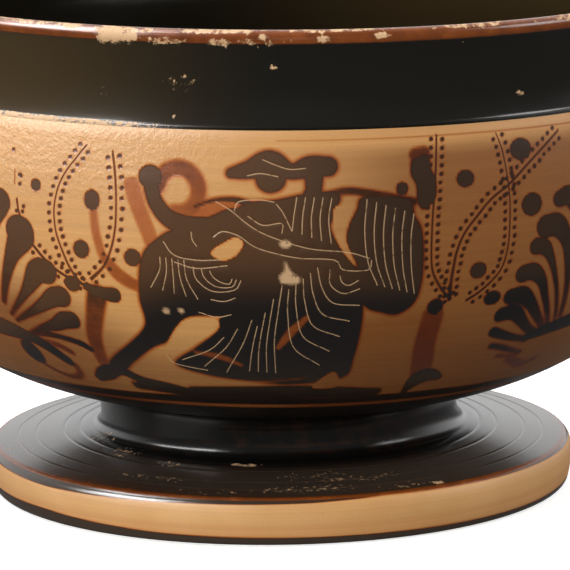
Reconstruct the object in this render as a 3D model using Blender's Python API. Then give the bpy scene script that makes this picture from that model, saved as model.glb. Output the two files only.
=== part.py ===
"""Black-figure bowl: a footed drinking bowl of fired clay with two loop handles.

Bowl, stem, foot and handles were joined while the clay was wet, so they are one solid.
Metres, +Z up. The origin is the middle of the foot's underside, the painted front faces -Y
and the handles stand out along +X and -X.
"""
from math import asin, atan2, cos, pi, radians, sin, sqrt

import bmesh
import bpy
from mathutils import Matrix, Vector
from mathutils.geometry import interpolate_bezier

# Sizes of the bowl, in metres
HEIGHT = 0.1237
BODY_RADIUS = 0.1015
SHOULDER_INSET = 0.0021
SHOULDER_HEIGHT = 0.1015
SHOULDER_ROUNDING = 0.0012
LIP_INSET = 0.0026
LIP_WALL = 0.0038
RIM_FLARE = 0.0023
RIM_ROUNDING = 0.0019
WIDEST_HEIGHT = 0.0840
BODY_BOTTOM_HEIGHT = 0.0210
BODY_FULLNESS = 2.5
BODY_WALL = 0.0046
FLOOR_THICKNESS = 0.0070

# Sizes of the stem and the foot
STEM_RADIUS = 0.0434
STEM_FILLET = 0.0030
STEM_WALL = 0.0095
FOOT_RADIUS = 0.0700
FOOT_EDGE_HEIGHT = 0.0109
FOOT_EDGE_BULGE = 0.0012
FOOT_EDGE_ROUNDING = 0.0009
FOOT_TOP_RISE = 0.0038
FOOT_PLATE = 0.0068
RESTING_RING_WIDTH = 0.0120

# Sizes of the handles
HANDLE_THICKNESS = 0.0095
HANDLE_ROOT_THICKNESS = 0.0125
HANDLE_ROOT_LENGTH = 0.0150
HANDLE_SPREAD = 0.0680
HANDLE_REACH = 0.0340
HANDLE_DROP = 0.0070
HANDLE_RISE = 0.0110

# The bowl was set on its foot a little out of true: it dips towards +X
LEAN = radians(0.72)

# Painted zones: the black gloss ends below the ground line and above the shoulder
GROUND_LINE_HEIGHT = 0.0363

# Places of the two surfaces in the material list
BARE, GLAZED = 0, 1

# Shares that give the curves between those sizes their shape
HOLLOW_FLAT = 0.6
HOLLOW_CORNER = 0.95
BULGE_PULL = 4 / 3
BULGE_FROM, BULGE_TO = 0.3, 0.7
FILLET_TOE = 0.35
LIP_FOOT_FLARE = 0.3
LIP_HOLLOW_LOW, LIP_HOLLOW_HIGH = 0.4, 0.2
RIM_UNDERCUT = 0.4
RIM_UNDERCUT_DROP = 1.8
RIM_START, RIM_END = radians(-30), radians(190)
HANDLE_ROOT_PULL = 0.72
HANDLE_TIP_PULL = 0.32
FLOOR_CROWDING = 1.15

# Smoothness of the faceted solid
SEGMENTS = 60
CURVE_POINTS = 6
FILLET_POINTS = 4
RIM_STEPS = 6
WALL_STEPS = 12
INSIDE_STEPS = 10
HANDLE_STEPS = 9
HANDLE_SIDES = 10
SHARP_ANGLE = radians(38)
MERGE_DISTANCE = 1e-6

# The shoulder draws in from the widest level, the lip from the shoulder, and the rim flares
SHOULDER_RADIUS = BODY_RADIUS - SHOULDER_INSET
LIP_WAIST_RADIUS = SHOULDER_RADIUS - LIP_INSET
RIM_RADIUS = LIP_WAIST_RADIUS + RIM_FLARE

# The handles' roots sit a little below the widest level
HANDLE_ROOT_HEIGHT = WIDEST_HEIGHT - HANDLE_DROP


def arc(centre, radius, start, end, steps):
    """Points on a round stretch of the profile, from one angle to another."""
    points = []
    for step in range(steps + 1):
        angle = start + (end - start) * step / steps
        points.append((centre[0] + radius * cos(angle), centre[1] + radius * sin(angle)))
    return points


def curve(start, start_pull, end_pull, end, count):
    """Points on a smooth curve between two profile points, both ends included."""
    flat = [Vector((point[0], point[1])) for point in (start, start_pull, end_pull, end)]
    return [tuple(point) for point in interpolate_bezier(*flat, count)]


def body_height(radius):
    """Height of the bowl's outer wall below its widest level, at a radius."""
    depth = WIDEST_HEIGHT - BODY_BOTTOM_HEIGHT
    share = 1 - (radius / BODY_RADIUS) ** BODY_FULLNESS
    return WIDEST_HEIGHT - depth * share ** (1 / BODY_FULLNESS)


def body_point(angle, inset=0.0):
    """A point of the lower wall, seen at an angle below the widest level.

    The curve is a superellipse, fuller than a plain ellipse, and inset moves the point
    straight into the clay.
    """
    depth = WIDEST_HEIGHT - BODY_BOTTOM_HEIGHT
    across = (cos(angle) / BODY_RADIUS) ** BODY_FULLNESS
    down = (sin(angle) / depth) ** BODY_FULLNESS
    reach = (across + down) ** (-1 / BODY_FULLNESS)
    radius, drop = reach * cos(angle), reach * sin(angle)
    normal = Vector((
        radius ** (BODY_FULLNESS - 1) / BODY_RADIUS ** BODY_FULLNESS,
        drop ** (BODY_FULLNESS - 1) / depth ** BODY_FULLNESS,
    )).normalized()
    return (radius - inset * normal.x, WIDEST_HEIGHT - drop + inset * normal.y)


def upper_radius(height):
    """Radius of the outer wall between its widest level and the shoulder."""
    narrowing = sqrt(1 - (SHOULDER_RADIUS / BODY_RADIUS) ** 2)
    level = (height - WIDEST_HEIGHT) / (SHOULDER_HEIGHT - WIDEST_HEIGHT)
    return BODY_RADIUS * sqrt(1 - (level * narrowing) ** 2)


def body_radius_at(height):
    """Radius of the outer wall at a height, above or below the widest level."""
    if height > WIDEST_HEIGHT:
        return upper_radius(height)
    level = (WIDEST_HEIGHT - height) / (WIDEST_HEIGHT - BODY_BOTTOM_HEIGHT)
    return BODY_RADIUS * (1 - level ** BODY_FULLNESS) ** (1 / BODY_FULLNESS)


def foot_top_height(radius):
    """Height of the foot's upper face, which rises gently towards the stem."""
    share = (FOOT_RADIUS - radius) / (FOOT_RADIUS - STEM_RADIUS)
    return FOOT_EDGE_HEIGHT + FOOT_TOP_RISE * share


def foot_profile():
    """From the middle of the hollow under the foot, round the edge, to the stem."""
    hollow_top = BODY_BOTTOM_HEIGHT + BODY_WALL - FLOOR_THICKNESS
    ring_inner = FOOT_RADIUS - RESTING_RING_WIDTH
    hollow_radius = STEM_RADIUS - STEM_WALL
    shelf = foot_top_height(STEM_RADIUS) - FOOT_PLATE
    points = [(0.0, hollow_top)]
    points += curve(
        (hollow_radius * HOLLOW_FLAT, hollow_top),
        (hollow_radius * HOLLOW_CORNER, hollow_top),
        (hollow_radius * HOLLOW_CORNER, shelf),
        (STEM_RADIUS, shelf),
        CURVE_POINTS - 1,
    )
    points.append((ring_inner - FOOT_EDGE_ROUNDING, foot_top_height(ring_inner) - FOOT_PLATE))
    points.append((ring_inner, 0.0))
    points.append((FOOT_RADIUS - FOOT_EDGE_ROUNDING, 0.0))
    bulge = FOOT_RADIUS + FOOT_EDGE_BULGE * BULGE_PULL
    points += curve(
        (FOOT_RADIUS, FOOT_EDGE_ROUNDING),
        (bulge, FOOT_EDGE_HEIGHT * BULGE_FROM),
        (bulge, FOOT_EDGE_HEIGHT * BULGE_TO),
        (FOOT_RADIUS, FOOT_EDGE_HEIGHT - FOOT_EDGE_ROUNDING),
        CURVE_POINTS,
    )
    rounded = FOOT_RADIUS - FOOT_EDGE_ROUNDING
    points.append((rounded, foot_top_height(rounded)))
    return points


def stem_profile():
    """From the foot's upper face, through the hollow fillet, to the bowl's underside."""
    fillet_end = STEM_RADIUS + STEM_FILLET
    foot_level = foot_top_height(fillet_end)
    before_fillet = fillet_end + STEM_FILLET
    points = [(before_fillet, foot_top_height(before_fillet))]
    points += curve(
        (fillet_end, foot_level),
        (STEM_RADIUS + STEM_FILLET * FILLET_TOE, foot_level),
        (STEM_RADIUS, foot_level + STEM_FILLET / 2),
        (STEM_RADIUS, foot_level + STEM_FILLET * 3 / 2),
        FILLET_POINTS,
    )
    points.append((STEM_RADIUS, body_height(STEM_RADIUS) - STEM_FILLET / 2))
    return points


def wall_profile():
    """The outer wall, from the stem to the edge of the shoulder."""
    start_radius = STEM_RADIUS + STEM_FILLET / 2
    start = atan2(WIDEST_HEIGHT - body_height(start_radius), start_radius)
    points = [body_point(start * (1 - step / WALL_STEPS)) for step in range(WALL_STEPS + 1)]
    for share in (0.4, 0.75):
        height = WIDEST_HEIGHT + share * (SHOULDER_HEIGHT - WIDEST_HEIGHT)
        points.append((upper_radius(height), height))
    shoulder_start = SHOULDER_HEIGHT - SHOULDER_ROUNDING * 2
    points.append((upper_radius(shoulder_start), shoulder_start))
    return points


def lip_curve(inset=0.0):
    """The hollow outer face of the lip, or a curve set into the clay from it."""
    foot_radius = LIP_WAIST_RADIUS + RIM_ROUNDING * LIP_FOOT_FLARE
    foot_height = SHOULDER_HEIGHT + SHOULDER_ROUNDING
    top_height = HEIGHT - RIM_ROUNDING * RIM_UNDERCUT_DROP
    rise = top_height - foot_height
    points = curve(
        (foot_radius, foot_height),
        (LIP_WAIST_RADIUS - RIM_ROUNDING * LIP_HOLLOW_LOW, foot_height + rise * BULGE_FROM),
        (LIP_WAIST_RADIUS - RIM_ROUNDING * LIP_HOLLOW_HIGH, foot_height + rise * BULGE_TO),
        (RIM_RADIUS - RIM_ROUNDING * RIM_UNDERCUT, top_height),
        CURVE_POINTS,
    )
    return [(radius - inset, height) for radius, height in points]


def lip_profile():
    """From the shoulder's edge, up the lip, over the rounded rim and down inside."""
    rim_centre = (RIM_RADIUS - RIM_ROUNDING, HEIGHT - RIM_ROUNDING)
    points = [(SHOULDER_RADIUS - SHOULDER_ROUNDING / 2, SHOULDER_HEIGHT)]
    points += lip_curve()
    points += arc(rim_centre, RIM_ROUNDING, RIM_START, RIM_END, RIM_STEPS)
    points += list(reversed(lip_curve(LIP_WALL)))[1:-1]
    return points


def inside_profile():
    """From the inside of the shoulder down to the middle of the floor."""
    points = []
    for step in range(INSIDE_STEPS):
        angle = pi / 2 * (step / INSIDE_STEPS) ** FLOOR_CROWDING
        points.append(body_point(angle, BODY_WALL))
    points.append((0.0, BODY_BOTTOM_HEIGHT + BODY_WALL))
    return points


def leaning(point):
    """Tip a point of the bowl about its handles' level, and leave the foot flat."""
    start = foot_top_height(STEM_RADIUS)
    end = body_height(STEM_RADIUS)
    share = min(max((point.z - start) / (end - start), 0.0), 1.0)
    share = share * share * (3 - 2 * share)
    pivot = Vector((0.0, 0.0, HANDLE_ROOT_HEIGHT + HANDLE_RISE))
    return pivot + Matrix.Rotation(LEAN * share, 3, "Y") @ (point - pivot)


def is_glazed(face):
    """True where the potter brushed on the black gloss, False on the bare clay."""
    centre = face.calc_center_median()
    outward = face.normal.x * centre.x + face.normal.y * centre.y > 0
    on_wall = GROUND_LINE_HEIGHT < centre.z < SHOULDER_HEIGHT
    on_edge = centre.z < FOOT_EDGE_HEIGHT and abs(face.normal.z) < 0.8
    under_foot = face.normal.z < -0.5 and centre.z < BODY_BOTTOM_HEIGHT
    return not (outward and (on_wall or on_edge) or under_foot)


def material(name, color, roughness):
    """A plain surface for the viewport."""
    made = bpy.data.materials.new(name)
    made.use_nodes = True
    shader = made.node_tree.nodes["Principled BSDF"]
    shader.inputs["Base Color"].default_value = (*color, 1.0)
    shader.inputs["Roughness"].default_value = roughness
    shader.inputs["Metallic"].default_value = 0.0
    made.diffuse_color = (*color, 1.0)
    return made


def finish_object(name, shape, materials):
    """Turn a built shape into an object, with the lean of the bowl applied."""
    for vertex in shape.verts:
        vertex.co = leaning(vertex.co)
    mesh = bpy.data.meshes.new(name)
    shape.to_mesh(mesh)
    shape.free()
    for surface in materials:
        mesh.materials.append(surface)
    mesh.shade_smooth()
    mesh.set_sharp_from_angle(angle=SHARP_ANGLE)
    made = bpy.data.objects.new(name, mesh)
    bpy.context.scene.collection.objects.link(made)
    return made


def turned_bowl(materials):
    """The whole turned shape, made as on the wheel: one profile spun round the axis."""
    profile = foot_profile() + stem_profile() + wall_profile() + lip_profile()
    profile += inside_profile()
    shape = bmesh.new()
    points = [shape.verts.new((radius, 0.0, height)) for radius, height in profile]
    edges = [shape.edges.new(pair) for pair in zip(points, points[1:])]
    bmesh.ops.spin(
        shape,
        geom=points + edges,
        cent=(0.0, 0.0, 0.0),
        axis=(0.0, 0.0, 1.0),
        angle=2 * pi,
        steps=SEGMENTS,
        use_merge=True,
    )
    bmesh.ops.remove_doubles(shape, verts=shape.verts, dist=MERGE_DISTANCE)
    bmesh.ops.recalc_face_normals(shape, faces=shape.faces)
    for face in shape.faces:
        face.material_index = GLAZED if is_glazed(face) else BARE
    return finish_object("bowl", shape, materials)


def handle_route(side):
    """Middle line of a loop handle, from one root in the wall to the other."""
    wall = body_radius_at(HANDLE_ROOT_HEIGHT)
    half_angle = asin(HANDLE_SPREAD / 2 / wall)
    out = Vector((cos(half_angle), -sin(half_angle), 0.0))
    lift = Vector((0.0, 0.0, HANDLE_RISE / HANDLE_REACH / 2))
    level = Vector((0.0, 0.0, HANDLE_ROOT_HEIGHT))
    root = out * (wall - BODY_WALL / 2) + level
    tip = Vector((wall + HANDLE_REACH, 0.0, HANDLE_ROOT_HEIGHT + HANDLE_RISE))
    pull = HANDLE_REACH * HANDLE_ROOT_PULL
    near = interpolate_bezier(
        root,
        root + (out + lift) * pull,
        tip - Vector((0.0, HANDLE_SPREAD * HANDLE_TIP_PULL, 0.0)),
        tip,
        HANDLE_STEPS + 1,
    )
    far = [Vector((point.x, -point.y, point.z)) for point in reversed(near[:-1])]
    return [Vector((side * point.x, side * point.y, point.z)) for point in near + far]


def rolled_handle(name, side, materials):
    """A loop of rolled clay that thickens where it was pressed to the wall."""
    route = handle_route(side)
    lengths = [0.0]
    for point, following in zip(route, route[1:]):
        lengths.append(lengths[-1] + (following - point).length)
    upright = Vector((-side * HANDLE_RISE, 0.0, HANDLE_REACH)).normalized()
    shape = bmesh.new()
    rings = []
    for index, point in enumerate(route):
        before = route[max(index - 1, 0)]
        after = route[min(index + 1, len(route) - 1)]
        along = (after - before).normalized()
        across = along.cross(upright).normalized()
        over = across.cross(along)
        from_root = min(lengths[index], lengths[-1] - lengths[index])
        swell = max(1 - from_root / HANDLE_ROOT_LENGTH, 0.0) ** 2
        radius = (HANDLE_THICKNESS + (HANDLE_ROOT_THICKNESS - HANDLE_THICKNESS) * swell) / 2
        ring = []
        for turn in range(HANDLE_SIDES):
            angle = 2 * pi * turn / HANDLE_SIDES
            ring.append(shape.verts.new(point + radius * (cos(angle) * across + sin(angle) * over)))
        rings.append(ring)
    for ring, following in zip(rings, rings[1:]):
        for turn in range(HANDLE_SIDES):
            ahead = (turn + 1) % HANDLE_SIDES
            shape.faces.new((ring[turn], ring[ahead], following[ahead], following[turn]))
    shape.faces.new(rings[0])
    shape.faces.new(rings[-1])
    bmesh.ops.recalc_face_normals(shape, faces=shape.faces)
    for face in shape.faces:
        face.material_index = GLAZED
    made = finish_object(name, shape, materials)
    made.hide_render = True
    made.display_type = "WIRE"
    return made


def join_to(body, addition):
    """Fuse another shape to the body, as wet clay is luted on."""
    union = body.modifiers.new("join " + addition.name, "BOOLEAN")
    union.operation = "UNION"
    union.solver = "EXACT"
    union.object = addition


def main():
    for old in list(bpy.data.objects):
        bpy.data.objects.remove(old)
    materials = [
        material("fired clay", (0.58, 0.31, 0.14), 0.55),
        material("black gloss", (0.012, 0.010, 0.009), 0.25),
    ]
    bowl = turned_bowl(materials)
    for name, side in (("handle guide right", 1), ("handle guide left", -1)):
        join_to(bowl, rolled_handle(name, side, materials))


main()
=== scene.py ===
# %% [markdown]
# # A black-figure drinking bowl
# A potter turned this bowl on a wheel, set it on a turned foot and pressed on two rolled
# handles. A painter then drew on the leather-hard clay with a thin clay slip that fires to
# a black gloss, and cut fine lines through it. We build that surface around the solid bowl
# that is loaded first, and never move or resize that solid.

# %% Load the solid bowl and keep its box
from collections import namedtuple
from math import asin, ceil, cos, hypot, pi, radians, sin, sqrt

import bpy
import numpy as np
from mathutils import Matrix, Vector, noise
from mathutils.geometry import delaunay_2d_cdt, interpolate_bezier


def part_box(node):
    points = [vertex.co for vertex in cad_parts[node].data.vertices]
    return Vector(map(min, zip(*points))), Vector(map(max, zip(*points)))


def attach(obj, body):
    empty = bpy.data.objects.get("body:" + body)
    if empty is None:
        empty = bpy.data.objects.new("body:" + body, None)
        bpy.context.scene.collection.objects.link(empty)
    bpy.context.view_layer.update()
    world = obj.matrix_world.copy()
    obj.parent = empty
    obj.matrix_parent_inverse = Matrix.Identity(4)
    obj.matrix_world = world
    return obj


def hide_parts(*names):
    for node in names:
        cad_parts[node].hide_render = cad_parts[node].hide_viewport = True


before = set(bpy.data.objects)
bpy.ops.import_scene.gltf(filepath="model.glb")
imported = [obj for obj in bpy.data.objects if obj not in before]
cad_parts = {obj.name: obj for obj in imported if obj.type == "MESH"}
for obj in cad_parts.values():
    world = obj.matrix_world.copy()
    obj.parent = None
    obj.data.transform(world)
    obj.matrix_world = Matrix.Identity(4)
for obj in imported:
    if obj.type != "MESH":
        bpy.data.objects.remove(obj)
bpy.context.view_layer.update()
solid_low, solid_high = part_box("bowl")
print("solid bowl:", [round(1000 * side) for side in solid_high - solid_low], "mm")

# %% [markdown]
# ## The turned shape
# Everything but the handles is round, so one outline describes it. We write it in
# millimetres, as a potter would note it, and repeat the sizes of the solid. The lower wall
# is a superellipse, which is fuller than an ellipse, and the upper wall draws in slightly
# to a soft shoulder.

# %% Sizes of the bowl, in millimetres
MM = 0.001
BODY_RADIUS = solid_high.y / MM
WIDEST_HEIGHT = 84.0
BODY_BOTTOM = 21.0
FULLNESS = 2.5
BODY_WALL = 4.6
SHOULDER_RADIUS = BODY_RADIUS - 2.1
SHOULDER_HEIGHT = 101.5
SHOULDER_ROUNDING = 1.2
LIP_WAIST = SHOULDER_RADIUS - 2.6
LIP_WALL = 3.8
RIM_RADIUS = LIP_WAIST + 2.3
RIM_ROUNDING = 1.9
RIM_HEIGHT = 123.7
STEM_RADIUS = 43.4
STEM_FILLET = 3.0
FOOT_RADIUS = 70.0
FOOT_EDGE_HEIGHT = 10.9
FOOT_TOP_RISE = 3.8


def wall_height(radius):
    """Height of the lower wall at a radius."""
    share = 1 - (radius / BODY_RADIUS) ** FULLNESS
    return WIDEST_HEIGHT - (WIDEST_HEIGHT - BODY_BOTTOM) * share ** (1 / FULLNESS)


def wall_radius(height):
    """Radius of the outer wall at a height, from its bottom to the shoulder."""
    if height <= WIDEST_HEIGHT:
        level = (WIDEST_HEIGHT - height) / (WIDEST_HEIGHT - BODY_BOTTOM)
        return BODY_RADIUS * (1 - level ** FULLNESS) ** (1 / FULLNESS)
    narrowing = sqrt(1 - (SHOULDER_RADIUS / BODY_RADIUS) ** 2)
    level = (height - WIDEST_HEIGHT) / (SHOULDER_HEIGHT - WIDEST_HEIGHT)
    rounding = max(0.0, 1 - (SHOULDER_HEIGHT - height) / (2 * SHOULDER_ROUNDING))
    return BODY_RADIUS * sqrt(1 - (level * narrowing) ** 2) - SHOULDER_ROUNDING / 2 * rounding ** 2


def inside_point(angle):
    """A point inside the bowl, one wall's thickness in from the superellipse."""
    depth = WIDEST_HEIGHT - BODY_BOTTOM
    across = (cos(angle) / BODY_RADIUS) ** FULLNESS
    down = (max(sin(angle), 0.0) / depth) ** FULLNESS
    reach = (across + down) ** (-1 / FULLNESS)
    radius, drop = reach * cos(angle), reach * sin(angle)
    out = Vector((
        radius ** (FULLNESS - 1) / BODY_RADIUS ** FULLNESS,
        max(drop, 0.0) ** (FULLNESS - 1) / depth ** FULLNESS,
    )).normalized()
    return (radius - BODY_WALL * out.x, WIDEST_HEIGHT - drop + BODY_WALL * out.y)


def foot_top(radius):
    """Height of the foot's gently rising upper face."""
    share = (FOOT_RADIUS - radius) / (FOOT_RADIUS - STEM_RADIUS)
    return FOOT_EDGE_HEIGHT + FOOT_TOP_RISE * share


print("wall radius half way up to the widest level:", round(wall_radius(WIDEST_HEIGHT / 2), 1), "mm")

# %% [markdown]
# The potter set the bowl a little out of true on its foot: it dips by less than a degree
# towards +X. Every point is made upright and then passed through one function that tips it,
# gently at the stem and fully above it. Places round the bowl are angles from the middle of
# the front, counted towards +X.

# %% Tip the bowl on its foot
LEAN = radians(0.72)
HANDLE_ROOT_HEIGHT = WIDEST_HEIGHT - 7.0
HANDLE_RISE = 11.0
PIVOT = Vector((0, 0, HANDLE_ROOT_HEIGHT + HANDLE_RISE))
LEAN_START = foot_top(STEM_RADIUS)
LEAN_END = wall_height(STEM_RADIUS)


def leaning(point):
    """Move an upright point in millimetres to its leaning place in metres."""
    share = min(max((point.z - LEAN_START) / (LEAN_END - LEAN_START), 0.0), 1.0)
    share = share * share * (3 - 2 * share)
    return (PIVOT + Matrix.Rotation(LEAN * share, 3, "Y") @ (point - PIVOT)) * MM


def around(angle, radius, height):
    """A point at an angle round the axis from the front, at a radius and a height."""
    return leaning(Vector((radius * sin(angle), -radius * cos(angle), height)))


front = around(0, BODY_RADIUS, WIDEST_HEIGHT) / MM
print("the front of the widest level:", [round(value, 1) for value in front], "mm")

# %% [markdown]
# ## Drawing with a brush in millimetres
# The picture is drawn on a flat sheet that is later wrapped round the wall. A place on the
# sheet is (across, height): millimetres round the wall from the middle of the picture, and
# millimetres above the table. A smooth curve through a few given points is enough for a
# brush line or an outline. The curve passes through every point, so it is easy to steer.

# %% A smooth curve through given points
CURVE_STEP = 0.8


def smooth(points, closed=False, step=CURVE_STEP):
    """Points close together on a curve that passes through all the given ones."""
    points = np.array(points, float)
    if closed:
        padded = np.vstack([points[-1], points, points[0], points[1]])
    else:
        padded = np.vstack([2 * points[0] - points[1], points, 2 * points[-1] - points[-2]])
    made = []
    for index in range(1, len(padded) - 2):
        before, start, end, after = padded[index - 1:index + 3]
        count = max(1, ceil(hypot(*(end - start)[:2]) / step))
        for share in np.arange(count) / count:
            made.append(0.5 * (
                2 * start
                + (end - before) * share
                + (2 * before - 5 * start + 4 * end - after) * share ** 2
                + (3 * start - before - 3 * end + after) * share ** 3
            ))
    if not closed:
        made.append(padded[-2])
    return np.array(made)


print("a curve through three points has", len(smooth([(0, 0), (5, 2), (10, 0)])), "points")

# %% [markdown]
# Slip is paint with a thickness. Laid thick it fires black, and where it thins out, as at
# the edge of a brush stroke or in a diluted wash, it fires brown and then orange. So we
# don't paint colours: every mark says how thick its slip is, and the material turns the
# thickness into a colour. Three kinds of mark are enough: a stroke with its own width, a
# filled patch, and a patch that wipes slip away.

# %% Marks of slip
EDGE_REACH = 2.5


class Mark:
    """One mark: its outline or route, how thick its slip is and how soft its edge."""

    def __init__(self, points, strength=1.0, soft=0.5, filled=False, wipes=False, fade=None):
        self.filled, self.wipes, self.soft = filled, wipes, soft
        self.line = smooth(points, closed=filled)
        ends = strength if fade is None else fade
        self.strength = np.linspace(strength, ends, len(self.line))
        wide = 0 if filled else self.line[:, 2].max()
        self.low = self.line[:, :2].min(0) - wide - EDGE_REACH
        self.high = self.line[:, :2].max(0) + wide + EDGE_REACH

    def depth(self, places):
        """How far inside the edge each place is, in mm, and how thick the slip is there."""
        ends = np.roll(self.line, -1, 0) if self.filled else self.line[1:]
        starts = self.line if self.filled else self.line[:-1]
        best = np.full(len(places), -99.0)
        strength = np.full(len(places), float(self.strength[0]))
        crossings = np.zeros(len(places), int)
        for index, (start, end) in enumerate(zip(starts, ends)):
            along = end[:2] - start[:2]
            share = np.clip((places - start[:2]) @ along / max(along @ along, 1e-9), 0, 1)
            gap = np.hypot(*(places - start[:2] - share[:, None] * along).T)
            if self.filled:
                inside = -gap
                spans = (start[1] > places[:, 1]) != (end[1] > places[:, 1])
                if spans.any():
                    reach = start[0] + along[0] * (places[:, 1] - start[1]) / (along[1] or 1e-9)
                    crossings += spans & (places[:, 0] < reach)
            else:
                inside = start[2] + share * (end[2] - start[2]) - gap
            closer = inside > best
            best[closer] = inside[closer]
            strength[closer] = self.strength[index]
        if self.filled:
            best = np.where(crossings % 2 == 1, -best, best)
        return best, strength


def rise(values, low, high):
    """A smooth step from 0 at low to 1 at high."""
    share = np.clip((values - low) / (high - low), 0, 1)
    return share * share * (3 - 2 * share)


def stroke(points, half_width=None, **look):
    """A brush stroke. Points are (across, height, half width), or share one half width."""
    if half_width is not None:
        points = [(*point, half_width) for point in points]
    return Mark(points, **look)


def patch(points, **look):
    """A filled area inside a smooth outline."""
    return Mark(points, filled=True, **look)


def dab(across, height, wide, tall=None, **look):
    """A round or oval dab of the brush."""
    tall = tall or wide
    turns = [pi * step / 4 for step in range(8)]
    return patch([(across + wide * cos(turn), height + tall * sin(turn)) for turn in turns], **look)


print("a dab of 2 mm is outlined by", len(dab(0, 60, 2.0).line), "points")

# %% [markdown]
# ## The painted motifs
# Two palmettes frame each picture, fans of club-shaped petals that narrow to their root.
# Between them hang vine tendrils edged with small dots, and round fruit fills the gaps.
# Each motif is a function, so that the back of the bowl can use it again.

# %% Petals and dotted tendrils
DOT_SIZE = 0.46


def petal(*shape, strength=1.0, fade=0.62):
    """A club-shaped petal, black at its round head and thinner at its root."""
    return stroke(shape, strength=strength, fade=fade, soft=0.65)


def dotted_tendril(route, width=(0.2, 0.2), gap=1.9, aside=1.35):
    """A thin tendril with a row of dots on each side. Its half width may grow along it."""
    line = smooth(route, step=0.3)
    half_widths = np.linspace(*width, len(route))
    made = [stroke([(*point, half) for point, half in zip(route, half_widths)], soft=0.2, strength=0.85)]
    lengths = np.concatenate([[0], np.cumsum(np.hypot(*np.diff(line, axis=0).T))])
    for row in (1, -1):
        for index, travelled in enumerate(np.arange(gap / 2, lengths[-1], gap)):
            place = [np.interp(travelled, lengths, line[:, axis]) for axis in (0, 1)]
            ahead = [np.interp(travelled + 0.5, lengths, line[:, axis]) for axis in (0, 1)]
            run = Vector((ahead[0] - place[0], ahead[1] - place[1]))
            if run.length < 0.01:
                continue
            run.normalize()
            wander = noise.noise(Vector((index * 1.7, row * 3.1, route[0][0]))) * 0.25
            out = row * (aside + wander)
            made.append(dot_mark(place[0] - run.y * out, place[1] + run.x * out, DOT_SIZE + 0.4 * wander))
    return made


def dot_mark(across, height, size):
    """A small round dot, as one very short stroke."""
    return stroke([(across, height, size), (across + 0.15, height + 0.1, size)], soft=0.22, strength=0.84)


print("a tendril of 20 mm takes", len(dotted_tendril([(0, 60), (10, 62), (20, 60)])), "marks")

# %% [markdown]
# The left palmette is drawn from its root near the handle. Its lower petals are diluted
# slip, so they fire brown, and a thick stem curls under it.

# %% The left palmette
def left_palmette():
    """Petals that the front view shows, outer ones nearer the handle, and the stem."""
    petals = [
        petal((-61.8, 76.4, 3.5), (-61.2, 75.2, 3.6), (-64.2, 70.6, 2.1), (-66.8, 65.5, 1.4),
              (-70, 58.5, 0.8)),
        petal((-55.2, 67.4, 2.9), (-57.6, 67.2, 2.8), (-60.8, 63.4, 1.7), (-64, 60, 1.0), (-69, 55.5, 0.6)),
        petal((-52.2, 61.7, 2.5), (-54.3, 61.3, 2.3), (-57.5, 59.4, 1.6), (-61.5, 57.2, 1.1),
              (-68, 54, 0.6)),
        petal((-50.8, 56, 2.1), (-53, 55.7, 2.1), (-56.3, 54.2, 1.5), (-60.5, 52.9, 1.0), (-66, 50.8, 0.6)),
        petal((-48.6, 48.6, 0.7), (-50.5, 49.8, 0.8), (-55, 50.9, 0.7), (-60, 51.3, 0.7), (-66, 50.6, 0.6),
              fade=0.5),
        petal((-55, 47, 0.7), (-58.5, 48.7, 0.8), (-64, 49.5, 0.6), strength=0.6, fade=0.42),
    ]
    outer = [
        petal((-67.2, 82.3, 3.2), (-70, 75, 1.5), (-74, 60, 0.9)),
        petal((-77, 82, 3.7), (-77, 72, 1.6), (-76.5, 60, 0.9)),
        petal((-86, 78, 3.6), (-83, 70, 1.6), (-78, 58, 0.9)),
        petal((-92, 70, 3.1), (-87, 63, 1.4), (-80, 55, 0.8)),
        petal((-96, 61, 2.6), (-90, 56, 1.2), (-82, 52, 0.7)),
    ]
    stem = [
        stroke([(-84, 52.5, 2.2), (-76, 51.8, 2.4), (-70.5, 50.9, 2.0), (-66.5, 49.8, 1.5)], soft=0.7),
        dab(-69.2, 45.5, 2.9, 3.2, soft=0.8),
        stroke([(-66.5, 50, 1.4), (-62.5, 48, 1.6), (-58.4, 44.4, 1.4)], soft=0.7),
        stroke([(-57, 43.3, 1.0), (-57.6, 40.8, 0.9), (-61, 39.2, 0.8), (-65, 39.8, 0.7), (-68.6, 42, 0.7)],
               strength=0.55, soft=0.7),
    ]
    return petals + outer + stem


print("the left palmette has", len(left_palmette()), "marks")

# %% [markdown]
# The right palmette is its looser partner, fanning out from the other handle. Its lowest
# petals were painted with a nearly dry brush and fired brown.

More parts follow.
